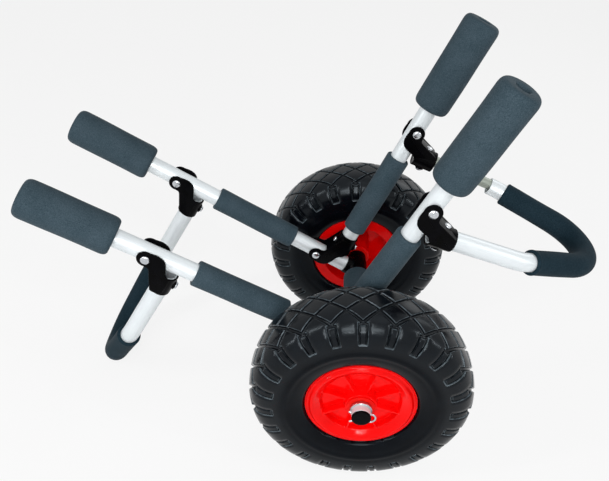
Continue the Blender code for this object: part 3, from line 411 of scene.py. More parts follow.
rod_skin, tree, shader = new_material("grey_rod_skin", (0.30, 0.33, 0.29), 0.36, 0.7)
lines = noise(tree, 36.0, detail=4.0, stretch=(9.0, 1.5, 1.0), coordinates="UV")
tint(tree, shader, lines, (0.23, 0.26, 0.22), (0.36, 0.39, 0.35))
dull(tree, shader, lines, low=0.3, high=0.45)
relief(tree, shader, lines, strength=0.05, distance=0.0001)
print("metal skins:", tube_skin.name, "and", rod_skin.name)

# %% [markdown]
# The brackets and the hub fittings are moulded black nylon with a polished face: the mould
# leaves only a faint grain, and the gloss changes a little where hands rub. One even roughness
# would look like paint, so a slow noise moves it.

# %% Black nylon
nylon, tree, shader = new_material("black_nylon_skin", (0.001, 0.001, 0.002), 0.24,
                                   Specular_IOR_Level=0.04)
tint(tree, shader, noise(tree, 90.0), (0.001, 0.001, 0.001), (0.002, 0.002, 0.003), end=0.75)
dull(tree, shader, noise(tree, 55.0), low=0.18, high=0.34)
relief(tree, shader, noise(tree, 1500.0, detail=2.0), strength=0.06, distance=0.0001)
print(nylon.name, "with", len(tree.nodes), "nodes")

# %% [markdown]
# The rims are injection-moulded in a saturated red that keeps a wet gloss. A faint orange-peel
# relief breaks up their highlights, and the colour is a touch deeper in patches. A clear coat
# could give the gloss as well, but one smooth layer is what moulded plastic has.

# %% Red plastic
red, tree, shader = new_material("red_rim_skin", (0.88, 0.002, 0.002), 0.10,
                                 Specular_IOR_Level=0.10)
tint(tree, shader, noise(tree, 45.0), (0.82, 0.001, 0.001), (0.92, 0.003, 0.003))
dull(tree, shader, noise(tree, 120.0), low=0.07, high=0.13)
relief(tree, shader, noise(tree, 420.0, detail=2.0), strength=0.05, distance=0.0003)
print(red.name, "with", len(tree.nodes), "nodes")

# %% [markdown]
# The tyres are solid black rubber: glossy on the tread blocks, with a fine grain and duller
# patches. The edges of the blocks are painted paler: partly scuffing from rolling and dust, and
# partly a painted highlight where their rounded edges would catch the light. Paint by hand
# could show that, but the formula of the tread already knows the edges, so the tyre's mesh
# carries them in an attribute, and a noise breaks the pale lines up. A second attribute,
# polish, makes the tread glossier than the side.

# %% Tyre rubber
rubber, tree, shader = new_material("tyre_rubber_skin", (0.002, 0.003, 0.004), 0.24,
                                    Specular_IOR_Level=0.13, Specular_Tint=(0.82, 0.93, 1.0, 1.0))
black = ramp(tree, noise(tree, 60.0, detail=4.0), (0.001, 0.001, 0.002), (0.002, 0.003, 0.005),
             end=0.75)
# Pale, bluish colour along the block edges: a painted highlight where the edges would glint, partly
# scuffing.
wear = add_node(tree, "Attribute", attribute_name="wear").outputs["Fac"]
edge_glint_and_scuff = add_node(tree, "Math", operation="MULTIPLY", use_clamp=True)
tree.links.new(wear, edge_glint_and_scuff.inputs[0])
tree.links.new(spread(tree, noise(tree, 190.0), low=-0.5, high=1.7), edge_glint_and_scuff.inputs[1])
# Color2 is the painted edge highlight colour, partly scuffing.
edge_glint_and_wear_mix = add_node(tree, "MixRGB", Color2=(0.12, 0.15, 0.17, 1.0))
tree.links.new(edge_glint_and_scuff.outputs[0], edge_glint_and_wear_mix.inputs["Fac"])
tree.links.new(black, edge_glint_and_wear_mix.inputs["Color1"])
tree.links.new(edge_glint_and_wear_mix.outputs["Color"], shader.inputs["Base Color"])
polish = add_node(tree, "Attribute", attribute_name="polish").outputs["Fac"]
gloss = spread(tree, polish, low=0.10, high=0.21)
tree.links.new(gloss, shader.inputs["Specular IOR Level"])
dull(tree, shader, noise(tree, 150.0, detail=4.0), low=0.16, high=0.27)
grain = relief(tree, shader, noise(tree, 1300.0, detail=2.0), strength=0.08, distance=0.0002)
relief(tree, shader, noise(tree, 170.0), strength=0.05, distance=0.0006, under=grain)
print(rubber.name, "with", len(tree.nodes), "nodes")

# %% [markdown]
# Bolts, screws, collars and clips are zinc-plated steel, bright with fine marks. The bushes are
# a harder, duller red plastic than the rims. Both are so small in a picture that a colour, a
# roughness and one relief are enough.

# %% Zinc-plated steel and bearing plastic
zinc, tree, shader = new_material("zinc_steel_skin", (0.56, 0.58, 0.61), 0.24, 1.0)
marks = noise(tree, 700.0)
tint(tree, shader, marks, (0.46, 0.48, 0.51), (0.66, 0.68, 0.71))
dull(tree, shader, noise(tree, 240.0), low=0.17, high=0.32)
relief(tree, shader, marks, strength=0.05, distance=0.0001)

bearing, tree, shader = new_material("bearing_plastic_skin", (0.80, 0.005, 0.003), 0.38,
                                     Specular_IOR_Level=0.08)
tint(tree, shader, noise(tree, 200.0), (0.74, 0.004, 0.002), (0.86, 0.007, 0.004))
relief(tree, shader, noise(tree, 900.0), strength=0.08, distance=0.0001)
print("small pieces:", zinc.name, "and", bearing.name)

# %% [markdown]
# ## The axle
# A straight tube carries everything, and plain round pieces sit on it: a foam sleeve in the
# middle, a black fitting under each left arm, a spacer, a steel collar and an end cap. They are
# turned from short profiles, and the far side is the near one turned round.

# %% Sizes along the axle
AXIS_R = 0.0002
ARM_SPACING, SLEEVE_LENGTH = 0.0766, 0.0330
SPACER_R, SPACER_EDGE = 0.0133, 0.0006
COLLAR_R, COLLAR_LENGTH, COLLAR_EDGE = 0.0127, 0.0045, 0.0007
BUSH_END, CLIP_GAP, WIRE_R, AXLE_PAST_CLIP = 0.0363, 0.0010, 0.0012, 0.0055
CLIP_AT = BUSH_END + FIT + COLLAR_LENGTH + CLIP_GAP + WIRE_R
AXLE_HALF = HALF_TRACK + CLIP_AT + AXLE_PAST_CLIP
CAP_BARREL, CAP_SIDE, CAP_HEAD = 0.0036, 0.0024, 0.0028
CAP_DRAFT, CAP_BEVEL, CAP_EDGE = 0.0001, 0.0012, 0.0004
outward = {tag: placement(axle_centre, (0, side, 0), (1, 0, 0)) for tag, side in SIDES.items()}
print("axle:", round(2000 * AXLE_HALF, 1), "mm long")


# %% Axle tube, spacers, collars and caps
def cap_profile():
    """Barrel inside the tube's end, then a head as wide as the tube with a bevelled rim."""
    inside, seat = AXLE_HALF - CAP_BARREL, AXLE_HALF + FIT
    side, head = seat + CAP_SIDE, seat + CAP_HEAD
    return [(inside, AXIS_R), (inside, BORE_R - FIT), (seat, BORE_R - FIT), (seat, TUBE_R),
            (side, TUBE_R - CAP_DRAFT), (head, TUBE_R - CAP_BEVEL), (head, AXIS_R)]


axle = turned(tube_profile(-AXLE_HALF, AXLE_HALF), outward["far"])
make_piece("axle", [axle], tube_skin, "cart", ["axle_tube"])
for tag in SIDES:
    start, end = ARM_SPACING + SLEEVE_LENGTH / 2 + FIT, HALF_TRACK - BUSH_END - FIT
    spacer = tube_profile(start, end, SPACER_R, TUBE_R + FIT, SPACER_EDGE)
    make_piece("spacer_" + tag, [turned(spacer, outward[tag])], nylon, "cart",
               ["wheel_spacer_" + tag])
    start = HALF_TRACK + BUSH_END + FIT
    collar = tube_profile(start, start + COLLAR_LENGTH, COLLAR_R, TUBE_R + FIT, COLLAR_EDGE)
    make_piece("collar_" + tag, [turned(collar, outward[tag])], zinc, "cart",
               ["axle_collar_" + tag])
    cap = soften(cap_profile(), CAP_EDGE, closed=False)
    make_piece("end_cap_" + tag, [turned(cap, outward[tag], closed=False)], nylon, "cart",
               ["axle_cap_" + tag])
print("axle end:", round(1000 * (AXLE_HALF + FIT + CAP_HEAD), 1), "mm from the middle")

# %% [markdown]
# ## Foam sleeves and grips
# A sleeve is a tube of foam pushed over a metal tube. Its ends are cut square and softly worn,
# and the foam is never perfectly even, so its radius drifts by a few tenths of a millimetre. A
# cloth simulation could round it too, but foam on a tube neither hangs nor folds, and two sines
# give the drift.

# %% Foam on a straight tube
VENT_R, RECESS_R, RECESS_DEPTH, RECESS_TAPER = 0.0022, 0.0084, 0.0062, 0.0012
RECESS_ROUNDS = [0.0022, 0.0008, 0.0004, 0.0, 0.0]
BORE_EDGE, UNEVEN = 0.0006, 0.00025
FOAM_SIDES, FOAM_RINGS, CLEAR_OF_CORNER = 72, 40, JUST_PAST + 0.05


def make_foam(name, node, part, material, body):
    """A padded piece from one surface."""
    piece = make_piece(name, [part], material, body, [node], sharp=50.0)


def foam_piece(name, node, place, start, end, radius, rounding, body, tip=None):
    """Foam sleeve with radius R - e (1 + w), where w is the mean of two sines of h and a.

    A grip, which has a tip in front of its tube, ends in a round recess with a small vent.
    """
    inner, floor = TUBE_R + FIT, end - RECESS_DEPTH
    corners = [(start, inner), (start, radius), (end, radius)]
    rounds = [BORE_EDGE, rounding, rounding]
    if tip is None:
        corners.append((end, inner))
        rounds.append(BORE_EDGE)
    else:
        corners += [(end, RECESS_R), (floor, RECESS_R - RECESS_TAPER), (floor, VENT_R),
                    (end - tip, VENT_R), (end - tip, inner)]
        rounds += RECESS_ROUNDS
    profile = soften(corners, rounds, steps=8)
    clear = CLEAR_OF_CORNER * rounding
    rings = np.linspace(start + clear, end - clear, FOAM_RINGS)
    long_side = np.stack((rings, np.full(FOAM_RINGS, radius)), axis=-1)
    after_two_corners = 2 * len(profile) // len(corners)
    profile = np.insert(profile, after_two_corners, long_side, axis=0)
    h, r = profile.T[..., None]
    a = angles(FOAM_SIDES)
    w = (np.sin(3 * a + 40 * h) + np.sin(2 * a - 71 * h + 1.0)) / 2
    outer = np.clip((r - inner) / (radius - inner), 0, 1)
    local = round_points(h, r - outer * UNEVEN * (1 + w), a)
    make_foam(name, node, surface(place_points(local, place), close_rows=True), foam, body)


AXLE_FOAM_R, AXLE_FOAM_ROUNDING = 0.0195, 0.0030
foam_half = ARM_SPACING - SLEEVE_LENGTH / 2 - FIT
foam_piece("axle_foam", "axle_foam_sleeve", outward["far"], -foam_half, foam_half, AXLE_FOAM_R,
           AXLE_FOAM_ROUNDING, "cart")
print("axle foam:", round(2000 * foam_half, 1), "mm long")

# %% [markdown]
# ## Arms
# Both arms of a pair lean slightly outwards, away from the cart's middle plane. Each has a bare
# tube, a thin sleeve in its middle and a thick grip on its end, with a round recess and a small
# vent in the grip's face. The four arms could be copies of one, but the pairs differ in length
# and lean, so a loop makes each from its own numbers. LEG_OFFSET is the way from a pivot to the
# middle of the tube that it carries.

# %% Arm placements
LEFT_SPREAD, LEFT_BOLT, INNER_BOLT = 0.0084, 0.2840, 0.0685
RIGHT_SPREAD, RIGHT_BOLT = 0.0134, 0.2185
LEG_OFFSET = 0.0315
left_splay = np.degrees(np.arcsin(LEFT_SPREAD / LEFT_BOLT))
right_splay = np.degrees(np.arcsin(RIGHT_SPREAD / RIGHT_BOLT))
inner_spacing = ARM_SPACING + LEFT_SPREAD * INNER_BOLT / LEFT_BOLT


def hinge_placement(joint, down, outboard):
    """Placement on a pivot: Z down the carried tube, X away from the carrying arm."""
    return placement(pivot[joint], heading(down), heading(outboard))


def arm_placement(foot, direction, side, spacing, splay):
    """Placement at an arm's foot, with Z up the arm."""
    lean = np.radians(splay)
    along = heading(direction) * np.cos(lean) + np.array([0, side * np.sin(lean), 0])
    return placement((foot[0], side * spacing, foot[2]), along, heading(direction - 90))


left_hinge = hinge_placement("left_u_fold", left_u_heading, left_u_heading - 90)
inner_hinge = hinge_placement("right_arm_fold", right_heading, right_heading + 90)
right_hinge = hinge_placement("right_u_fold", right_u_heading, right_u_heading + 90)
right_foot = shifted(inner_hinge, x=-LEG_OFFSET)[:3, 3]
print("arms lean by", round(left_splay, 2), "and", round(right_splay, 2), "degrees")

# %% Arm tubes, sleeves and grips
STEM_TOP, SOCKET_TOP, TUBE_SUNK = 0.0210, 0.0136, 0.0008
CARRIED = SOCKET_TOP + TUBE_SUNK
ARM_FOAM_R, ARM_FOAM_ROUNDING = 0.0157, 0.0026
GRIP_R, GRIP_ROUNDING, GRIP_TIP = 0.0232, 0.0100, 0.0110
LEFT_SLEEVE, LEFT_GRIP = (0.1060, 0.2254), (0.3244, 0.4333)
RIGHT_SLEEVE, RIGHT_GRIP = (0.0545, 0.1750), (0.2505, 0.3703)
arms = {}
for tag, side in SIDES.items():
    place = arm_placement(axle_centre, left_heading, side, ARM_SPACING, left_splay)
    arms["left", tag] = (place, "cart", STEM_TOP + FIT, LEFT_SLEEVE, LEFT_GRIP)
    place = arm_placement(right_foot, right_heading, side, inner_spacing, right_splay)
    arms["right", tag] = (place, "right_arm_fold", CARRIED, RIGHT_SLEEVE, RIGHT_GRIP)

for (label, tag), (place, body, start, sleeve, grip) in arms.items():
    name, node = f"{label}_{{}}_{tag}", f"{label}_arm_{{}}_{tag}"
    tube = turned(tube_profile(start, grip[1] - GRIP_TIP), place)
    make_piece(name.format("tube"), [tube], tube_skin, body, [node.format("tube")])
    foam_piece(name.format("sleeve"), node.format("sleeve"), place, *sleeve, ARM_FOAM_R,
               ARM_FOAM_ROUNDING, body)
    foam_piece(name.format("grip"), node.format("grip"), place, *grip, GRIP_R, GRIP_ROUNDING,
               body, GRIP_TIP - FIT)
print("arms:", len(arms))

# %% [markdown]
# A black fitting holds each left arm on the axle. It is one moulding: a sleeve around the axle,
# and a stem whose thin spigot is hidden in the arm's tube. A Boolean could join the two, but
# where two closed shells run into each other, no seam shows, so they stay two surfaces.

# %% Fittings that hold the left arms on the axle
HUB_R, HUB_EDGE = 0.0140, 0.0012
STEM_FOOT, STEM_FOOT_R, STEM_NECK, STEM_R, STEM_EDGE = 0.0118, 0.0138, 0.0150, 0.0125, 0.0007
SPIGOT_R, SPIGOT_END = BORE_R - FIT, 0.0473
hub_sleeve = tube_profile(-SLEEVE_LENGTH / 2, SLEEVE_LENGTH / 2, HUB_R, TUBE_R + FIT, HUB_EDGE)
stem = soften([(STEM_FOOT, AXIS_R), (STEM_FOOT, STEM_FOOT_R), (STEM_NECK, STEM_R),
               (STEM_TOP, STEM_R), (STEM_TOP, SPIGOT_R), (SPIGOT_END, SPIGOT_R),
               (SPIGOT_END, AXIS_R)], STEM_EDGE, closed=False)
for tag, side in SIDES.items():
    hub = placement(axle_centre + (0, side * ARM_SPACING, 0), (0, side, 0), (1, 0, 0))
    parts = [turned(hub_sleeve, hub), turned(stem, arms["left", tag][0], closed=False)]
    make_piece("hub_fitting_" + tag, parts, nylon, "cart", ["hub_connector_" + tag])
print("fitting:", len(stem), "points in the stem's profile")

# %% [markdown]
# ## U-bars
# A U-bar is one bent tube: two legs that draw together, a bend on each, and a round nose. A
# Bezier curve could follow it, but its bends would not be true arcs. So the centre line is an
# integral, as a bending machine works: the heading grows evenly in a bend, and the point moves on
# by the sine and cosine of the heading.

# %% Centre line of a U-bar
LEG_BEND, BEND_RADIUS, NOSE_LEAN = 0.1280, 0.0550, np.radians(23.9)
LINE_POINTS = 6001


def leg_line(spacing, draw, converging):
    """Heading h(s) is the integral of 1/R, and y(s), z(s) are the integrals of sin h and cos h."""
    toe = np.arctan2(draw, LEG_BEND)
    bend, nose_bend = NOSE_LEAN - toe, np.pi - 2 * NOSE_LEAN
    tangent = BEND_RADIUS * np.tan(bend / 2)
    nose_r = (spacing - draw - converging * np.sin(NOSE_LEAN)) / np.cos(NOSE_LEAN)
    leg = [(LEG_BEND / np.cos(toe) - tangent, 0.0), (BEND_RADIUS * bend, bend),
           (converging - tangent, 0.0)]
    stretches = np.array(leg + [(nose_r * nose_bend, nose_bend)] + leg[::-1])
    marks, turns = running_sum(stretches[:, 0]), toe + running_sum(stretches[:, 1])
    s = np.linspace(0, marks[-1], LINE_POINTS)
    h = np.interp(s, marks, turns)
    middle = (h[1:] + h[:-1]) / 2
    y = -spacing + running_sum(np.sin(middle) * s[1])
    z = running_sum(np.cos(middle) * s[1])
    return s, y, z, h


# %% Placements along the centre line
def leg_places(line, hinge, marks, x):
    """Placements along the centre line, carried to the hinge."""
    s, y, z, h = line
    y, z, h = (np.interp(marks, s, values) for values in (y, z, h))
    local = np.tile(np.eye(4), (len(marks), 1, 1))
    local[:, 1:3, 1] = np.stack((np.cos(h), -np.sin(h)), axis=-1)
    local[:, 1:3, 2] = np.stack((np.sin(h), np.cos(h)), axis=-1)
    local[:, :3, 3] = np.stack((np.full(len(marks), x), y, z), axis=-1)
    return hinge @ local


def even_marks(start, end, step=0.004):
    """Marks from start to end, about one step apart."""
    return np.linspace(start, end, int(round((end - start) / step)) + 1)


# %% The two centre lines
LEFT_U_SPACING, LEFT_DRAW, LEFT_CONVERGING = 0.0850, 0.0031, 0.0788
RIGHT_DRAW, RIGHT_CONVERGING = 0.0101, 0.0841
right_spacing = inner_spacing + RIGHT_SPREAD
left_line = leg_line(LEFT_U_SPACING, LEFT_DRAW, LEFT_CONVERGING)
right_line = leg_line(right_spacing, RIGHT_DRAW, RIGHT_CONVERGING)
left_end, right_end = left_line[0][-1], right_line[0][-1]
print("U-bars: left", round(left_end, 3), "m and right", round(right_end, 3), "m of tube")

# %% Tube and foam of a U-bar
U_FOAM_START, U_FOAM_R, U_FOAM_ROUNDING = 0.1430, 0.0149, 0.0026
U_UNEVEN, U_WORN, U_STEP = 0.00012, 0.0002, 0.003


def u_tube(line, hinge, start, end):
    """Outer wall there and inner wall back, as one closed surface."""
    marks = even_marks(start, end)
    marks = np.concatenate((marks, marks[::-1]))
    radii = np.repeat((TUBE_R, BORE_R), len(marks) // 2)
    return swept(leg_places(line, hinge, marks, -LEG_OFFSET), radii)


def u_foam(name, node, line, hinge, body):
    """Foam round the nose, with quarter circles at its ends, and back along the bore.

    Its radius is R - w + e (sin 90s + sin (57s + 1.3)), with w for rubbed-down foam and e for
    unevenness.
    """
    start, end = U_FOAM_START, line[0][-1] - U_FOAM_START
    t = np.linspace(0, np.pi / 2, 7)
    small, large = U_FOAM_ROUNDING * (1 - np.sin(t)), U_FOAM_ROUNDING * (1 - np.cos(t))
    clear = U_FOAM_ROUNDING * JUST_PAST
    s = even_marks(start + clear, end - clear, U_STEP)
    wave = U_UNEVEN * (np.sin(90 * s) + np.sin(57 * s + 1.3))
    back = even_marks(start, end)[::-1]
    marks = np.concatenate((start + large, s, end - small, back))
    radii = np.concatenate((U_FOAM_R - small, U_FOAM_R + wave - U_WORN, U_FOAM_R - large,
                            np.full(len(back), TUBE_R + FIT)))
    places = leg_places(line, hinge, marks, -LEG_OFFSET)
    make_foam(name, node, swept(places, radii, 64), shaded_bar_foam, body)


# %% U-bars and the thin rod
RIGHT_TUBE_START, ROD_END, ROD_R, ROD_SHIFT = 0.1220, 0.1440, 0.0070, 0.0022
left_tube = u_tube(left_line, left_hinge, CARRIED, left_end - CARRIED)
make_piece("left_u_bar", [left_tube], tube_skin, "left_u_fold", ["left_u_tube"])
right_tube = u_tube(right_line, right_hinge, RIGHT_TUBE_START, right_end - CARRIED)
make_piece("right_u_bar", [right_tube], tube_skin, "right_u_fold", ["right_u_tube"])
u_foam("left_u_sleeve", "left_u_foam", left_line, left_hinge, "left_u_fold")
u_foam("right_u_sleeve", "right_u_foam", right_line, right_hinge, "right_u_fold")
marks = even_marks(CARRIED, ROD_END)
rod_places = leg_places(right_line, right_hinge, marks, -LEG_OFFSET + ROD_SHIFT)
rod = swept(rod_places, np.full(len(marks), ROD_R), closed=False)
make_piece("right_u_thin_rod", [rod], rod_skin, "right_u_fold", ["right_u_rod"])
print("foam on a U-bar starts", round(1000 * U_FOAM_START), "mm along its tube")

# %% [markdown]
# ## Folding brackets
# A bracket is two thin cheeks that straddle the carrying tube, a solid web behind them, and a
# round socket that takes the carried tube. The cheeks and the web could be extruded and given a
# Bevel, which stumbles over the short edges of their rounded outlines. So they are plates whose
# outline is drawn in by a quarter circle at each face, and their edges are round like the
# moulded ones.

# %% Plates with round edges
def plate(outline, low, high, edge, place):
    """Outline points moved in along their normals by e (1 - sin t), at a depth of e (1 - cos t)."""
    p = np.asarray(outline)
    tangent = np.roll(p, -1, axis=0) - np.roll(p, 1, axis=0)
    normal = np.stack((tangent[:, 1], -tangent[:, 0]), axis=-1)
    normal /= np.maximum(np.linalg.norm(normal, axis=1, keepdims=True), TINY)
    area = np.sum(p[:, 0] * np.roll(p[:, 1], -1) - p[:, 1] * np.roll(p[:, 0], -1))
    normal *= np.sign(area)
    t = np.linspace(0, np.pi / 2, 5)
    inwards, deep = edge * (1 - np.sin(t)), edge * (1 - np.cos(t))
    moved_in = np.concatenate((inwards, inwards[::-1]))
    depth = np.concatenate((low + deep, high - deep[::-1]))
    flat = p[None] - moved_in[:, None, None] * normal[None]
    across = np.broadcast_to(depth[:, None], flat.shape[:2])
    local = np.stack((flat[..., 0], across, flat[..., 1]), axis=-1)
    return surface(place_points(local, place))


def arc(centre, radius, start, end, steps=16):
    """Points of an arc, angles in degrees."""
    a = np.radians(np.linspace(start, end, steps))
    return np.stack((centre[0] + radius * np.cos(a), centre[1] + radius * np.sin(a)), axis=-1)


# %% Outlines of a cheek and of the web
SOCKET_R, SOCKET_END = 0.0132, 0.0415
CHEEK_GAP, CHEEK_FACE, CHEEK_END = 0.0124, 0.0142, 0.0395
EYE_R, CHEEK_ROUNDING, CHEEK_BEVEL = 0.0104, 0.0036, 0.0020
SHANK_OUT, SHANK_IN = 0.0045, 0.0030
WEB_BACK, WEB_TOP, WEB_ROUNDING = -0.0235, 0.0127, 0.0003


def cheek_outline():
    """Eye round the bolt, slanting shank and slightly humped crown, in (x, z) from the bolt."""
    left, right = -LEG_OFFSET - SHANK_OUT, SOCKET_R - LEG_OFFSET - SHANK_IN
    eye = arc((0, 0), EYE_R, 262, 464, 26)
    shank = [(-0.00697, EYE_R), (-0.00897, 0.0124), (right, CHEEK_END),
             (left + CHEEK_BEVEL, CHEEK_END), (left, CHEEK_END - CHEEK_BEVEL),
             (left, SOCKET_TOP)]
    crown = [(-0.0288, EYE_R), (-0.0260, 0.0020), (-0.0226, -0.0056), (-0.0182, -0.0098),
             (-0.0120, -0.0116), (-0.0060, -0.0112)]
    corners = np.concatenate((eye[-1:], shank, crown, eye[:1]))
    soft = soften(corners, CHEEK_ROUNDING)
    per_corner = len(soft) // len(corners)
    return np.concatenate((eye, soft[per_corner:-per_corner]))


outline = cheek_outline()
web_outline = soften([(WEB_BACK, WEB_TOP), (-0.0099, WEB_TOP), (-0.0213, CHEEK_END),
                      (WEB_BACK, CHEEK_END)], WEB_ROUNDING)
print("cheek:", len(outline), "points, web:", len(web_outline))


# %% Domed fasteners and the plug around the thin rod
def dome(face, radius, height, shank, rim=0.35, edge=0.0003, open_top=0.03):
    """Half a fastener: a short straight rim, then a dome that stops just short of its pole.

    The dome's radius is R cos^0.8 t and its height grows with sin t.
    """
    t = np.linspace(0, np.pi / 2 - open_top, 12)
    heights = face + height * (rim + (1 - rim) * np.sin(t))
    cap = np.stack((heights, radius * np.cos(t) ** 0.8), axis=-1)
    return np.concatenate(([(face, shank), (face, radius - edge), (face + edge, radius)], cap))


def fastener(face, radius, height, shank, place):
    """Head, shank and nut as one turned piece along the placement's Z."""
    upper = dome(face, radius, height, shank)
    lower = upper[::-1] * (-1, 1)
    return turned(np.concatenate((lower, upper)), place, 40, closed=False)


def offset_ring(start, end, outer, inner, offset, place, sides=64):
    """Plug with a round hole beside its middle: x = c + r cos a and y = r sin a on four circles."""
    circles = np.array([(start, inner, offset), (start, outer, 0.0), (end, outer, 0.0),
                        (end, inner, offset)])
    height, radius, centre = circles.T[..., None]
    local = round_points(height, radius, angles(sides))
    local[..., 0] += centre
    return surface(place_points(local, place), close_rows=True)


# %% Parts of one bracket
SOCKET_EDGES = (0.0004, 0.0008, 0.0010, 0.0004)
CHEEK_EDGE, WEB_EDGE, WEB_OVERLAP = 0.0007, 0.0001, 0.0006
PLUG_IN, PLUG_R = 0.0006, TUBE_R + 0.0008
PAD_LOW, PAD_HIGH, PAD_R, PAD_EDGE = 0.0118, 0.0144, 0.0060, 0.0004


def bracket_parts(place, leg, screw_line, thin):
    """Socket, two cheeks, web and two pads under the screw; a thin rod's socket has a plug."""
    barrel = [(SOCKET_TOP, TUBE_R + FIT), (SOCKET_TOP, SOCKET_R), (SOCKET_END, SOCKET_R),
              (SOCKET_END, TUBE_R + FIT)]
    parts = [turned(soften(barrel, SOCKET_EDGES), leg)]
    if thin:
        parts.append(offset_ring(SOCKET_TOP + PLUG_IN, SOCKET_END - PLUG_IN, PLUG_R, ROD_R + FIT,
                                 ROD_SHIFT, leg))
    for low, high in ((CHEEK_GAP, CHEEK_FACE), (-CHEEK_FACE, -CHEEK_GAP)):
        parts.append(plate(outline, low, high, CHEEK_EDGE, place))
    web_half = CHEEK_GAP + WEB_OVERLAP
    parts.append(plate(web_outline, -web_half, web_half, WEB_EDGE, place))
    pad = soften([(PAD_LOW, AXIS_R), (PAD_LOW, PAD_R), (PAD_HIGH, PAD_R), (PAD_HIGH, AXIS_R)],
                 PAD_EDGE, closed=False)
    for direction in (1, -1):
        parts.append(turned(pad * (direction, 1), screw_line, 40, closed=False))
    return parts


# %% Brackets, bolts and screws
SCREW_AT, SCREW_R, SCREW_HEAD, SCREW_SHANK = 0.0275, 0.0044, 0.0030, 0.0022
BOLT_R, BOLT_HEAD, BOLT_SHANK = 0.0054, 0.0034, 0.0030


def bracket_pieces(label, hinge, spacing, toe, carrier, carried, thin_side=None):
    """The two brackets on one hinge line, their pivot bolts and their cross screws."""
    flip = 1 if hinge[1, 1] > 0 else -1
    for tag, side in SIDES.items():
        outside = side * flip
        place = shifted(hinge, y=outside * spacing)
        leg = tilted(shifted(place, x=-LEG_OFFSET), toe * outside)
        screw_line = shifted(leg, z=SCREW_AT) @ ALONG_X
        parts = bracket_parts(place, leg, screw_line, tag == thin_side)
        make_piece(f"{label}_hinge_bracket_{tag}", parts, nylon, carried,
                   [f"{label}_bracket_{tag}"])
        bolt = fastener(CHEEK_FACE + FIT, BOLT_R, BOLT_HEAD, BOLT_SHANK, place @ ALONG_Y)
        make_piece(f"{label}_pivot_bolt_{tag}", [bolt], zinc, carrier,
                   [f"{label}_bolt_{tag}"])
        screw = fastener(PAD_HIGH + FIT, SCREW_R, SCREW_HEAD, SCREW_SHANK, screw_line)
        make_piece(f"{label}_cross_screw_{tag}", [screw], zinc, carried,
                   [f"{label}_screw_{tag}"])
    print(label, "hinge: two brackets, two bolts and two screws")


left_toe = np.degrees(np.arctan2(LEFT_DRAW, LEG_BEND))
right_toe = np.degrees(np.arctan2(RIGHT_DRAW, LEG_BEND))
bracket_pieces("left", left_hinge, LEFT_U_SPACING, left_toe, "cart", "left_u_fold")
bracket_pieces("inner", inner_hinge, inner_spacing, -right_splay, "cart", "right_arm_fold")
bracket_pieces("right", right_hinge, right_spacing, right_toe, "right_arm_fold", "right_u_fold",
               "far")

# %% [markdown]
# ## Rims
# The outer face of a rim is a cone-shaped ring that rises to a crest, eight ribs, pockets
# between them and a boss. Cutting eight pockets with Booleans would leave sharp, untidy edges.
# Instead the face is a height over the wheel: each form is a smooth step of the distance to its
# edge, and the face takes the highest of them. The inner side is a plain dish.

# %% Height of a rim's face
RIM_R, RIM_HALF, SEAT_R, WALL_R, BOSS_R = 0.0644, 0.0325, 0.0556, 0.0462, 0.0185
RIM_BORE, CREST_R = TUBE_R + 0.0040, 0.0562
POCKET_DEPTH, RIB_BELOW, BOSS_RISE = 0.0110, 0.0032, 0.0020
RING_BELOW, RING_RISE, RING_BEND, FLANGE_DROP = 0.0043, 0.0066, 0.12, 0.0030
RIB_FLANK = (0.0009, 0.0026)
BOSS_FLANK = (BOSS_R - 0.0002, BOSS_R + 0.0016)
WALL_FLANK = (WALL_R - 0.0022, WALL_R + 0.0004)
CREST_FLANK = (CREST_R + 0.0006, CREST_R + 0.0042)
RIB_STEP = np.pi / 4


def smooth_step(x, low, high):
    """0 below low, 1 above high, and 3t^2 - 2t^3 between them."""
    t = np.clip((x - low) / (high - low), 0, 1)
    return t * t * (3 - 2 * t)


def rim_face(r, a, rib_at):
    """Height of the outer face at radius r and angle a.

    The ring rises from the pockets' wall as t - 0.12 t^6 and drops past its crest to a narrow
    flange. A rib falls off by a smooth step of the distance to its ray.
    """
    floor = RIM_HALF - POCKET_DEPTH
    nearest_rib = rib_at + np.round((a - rib_at) / RIB_STEP) * RIB_STEP
    to_rib = r * np.abs(np.sin(a - nearest_rib))
    t = np.clip((r - WALL_R) / (CREST_R - WALL_R), 0, 1)
    ring = RIM_HALF - RING_BELOW + RING_RISE * (t - RING_BEND * t ** 6) / (1 - RING_BEND)
    ring = ring - FLANGE_DROP * smooth_step(r, *CREST_FLANK)
    boss = (RIM_HALF + BOSS_RISE - floor) * (1 - smooth_step(r, *BOSS_FLANK))
    rib = (RIM_HALF - RIB_BELOW - floor) * (1 - smooth_step(to_rib, *RIB_FLANK))
    wall = (ring - floor) * smooth_step(r, *WALL_FLANK)
    return floor + np.maximum(np.maximum(boss, rib), wall)


# %% A whole rim
RIB_AT = {"near": np.radians(32.5), "far": np.radians(22.5)}
LIP, LIP_IN, LEDGE = 0.0014, 0.0006, 0.0057
DISH_FLOOR, DISH_DRAFT, BOSS_DRAFT = 0.0165, 0.0030, 0.0008
RIM_ROUNDING, RIM_SIDES = 0.0012, 480


def rows_through(*stretches):
    """Even rows through each stretch, given as its start, its end and how many rows it has."""
    return np.concatenate([np.linspace(*stretch) for stretch in stretches])


def back_profile():
    """From the face's rim over the tyre seat and down into the plain dish, in (height, radius)."""
    boss_back = -RIM_HALF - BOSS_RISE
    return soften([(RIM_HALF - LIP_IN, RIM_R - LIP), (RIM_HALF - LIP, RIM_R),
                   (RIM_HALF - LEDGE, SEAT_R), (LEDGE - RIM_HALF, SEAT_R),
                   (LIP - RIM_HALF, RIM_R), (-RIM_HALF, RIM_R - LIP),
                   (-RIM_HALF, WALL_R + DISH_DRAFT), (DISH_FLOOR, WALL_R),
                   (DISH_FLOOR, BOSS_R + BOSS_DRAFT), (boss_back, BOSS_R),
                   (boss_back, RIM_BORE)], RIM_ROUNDING)


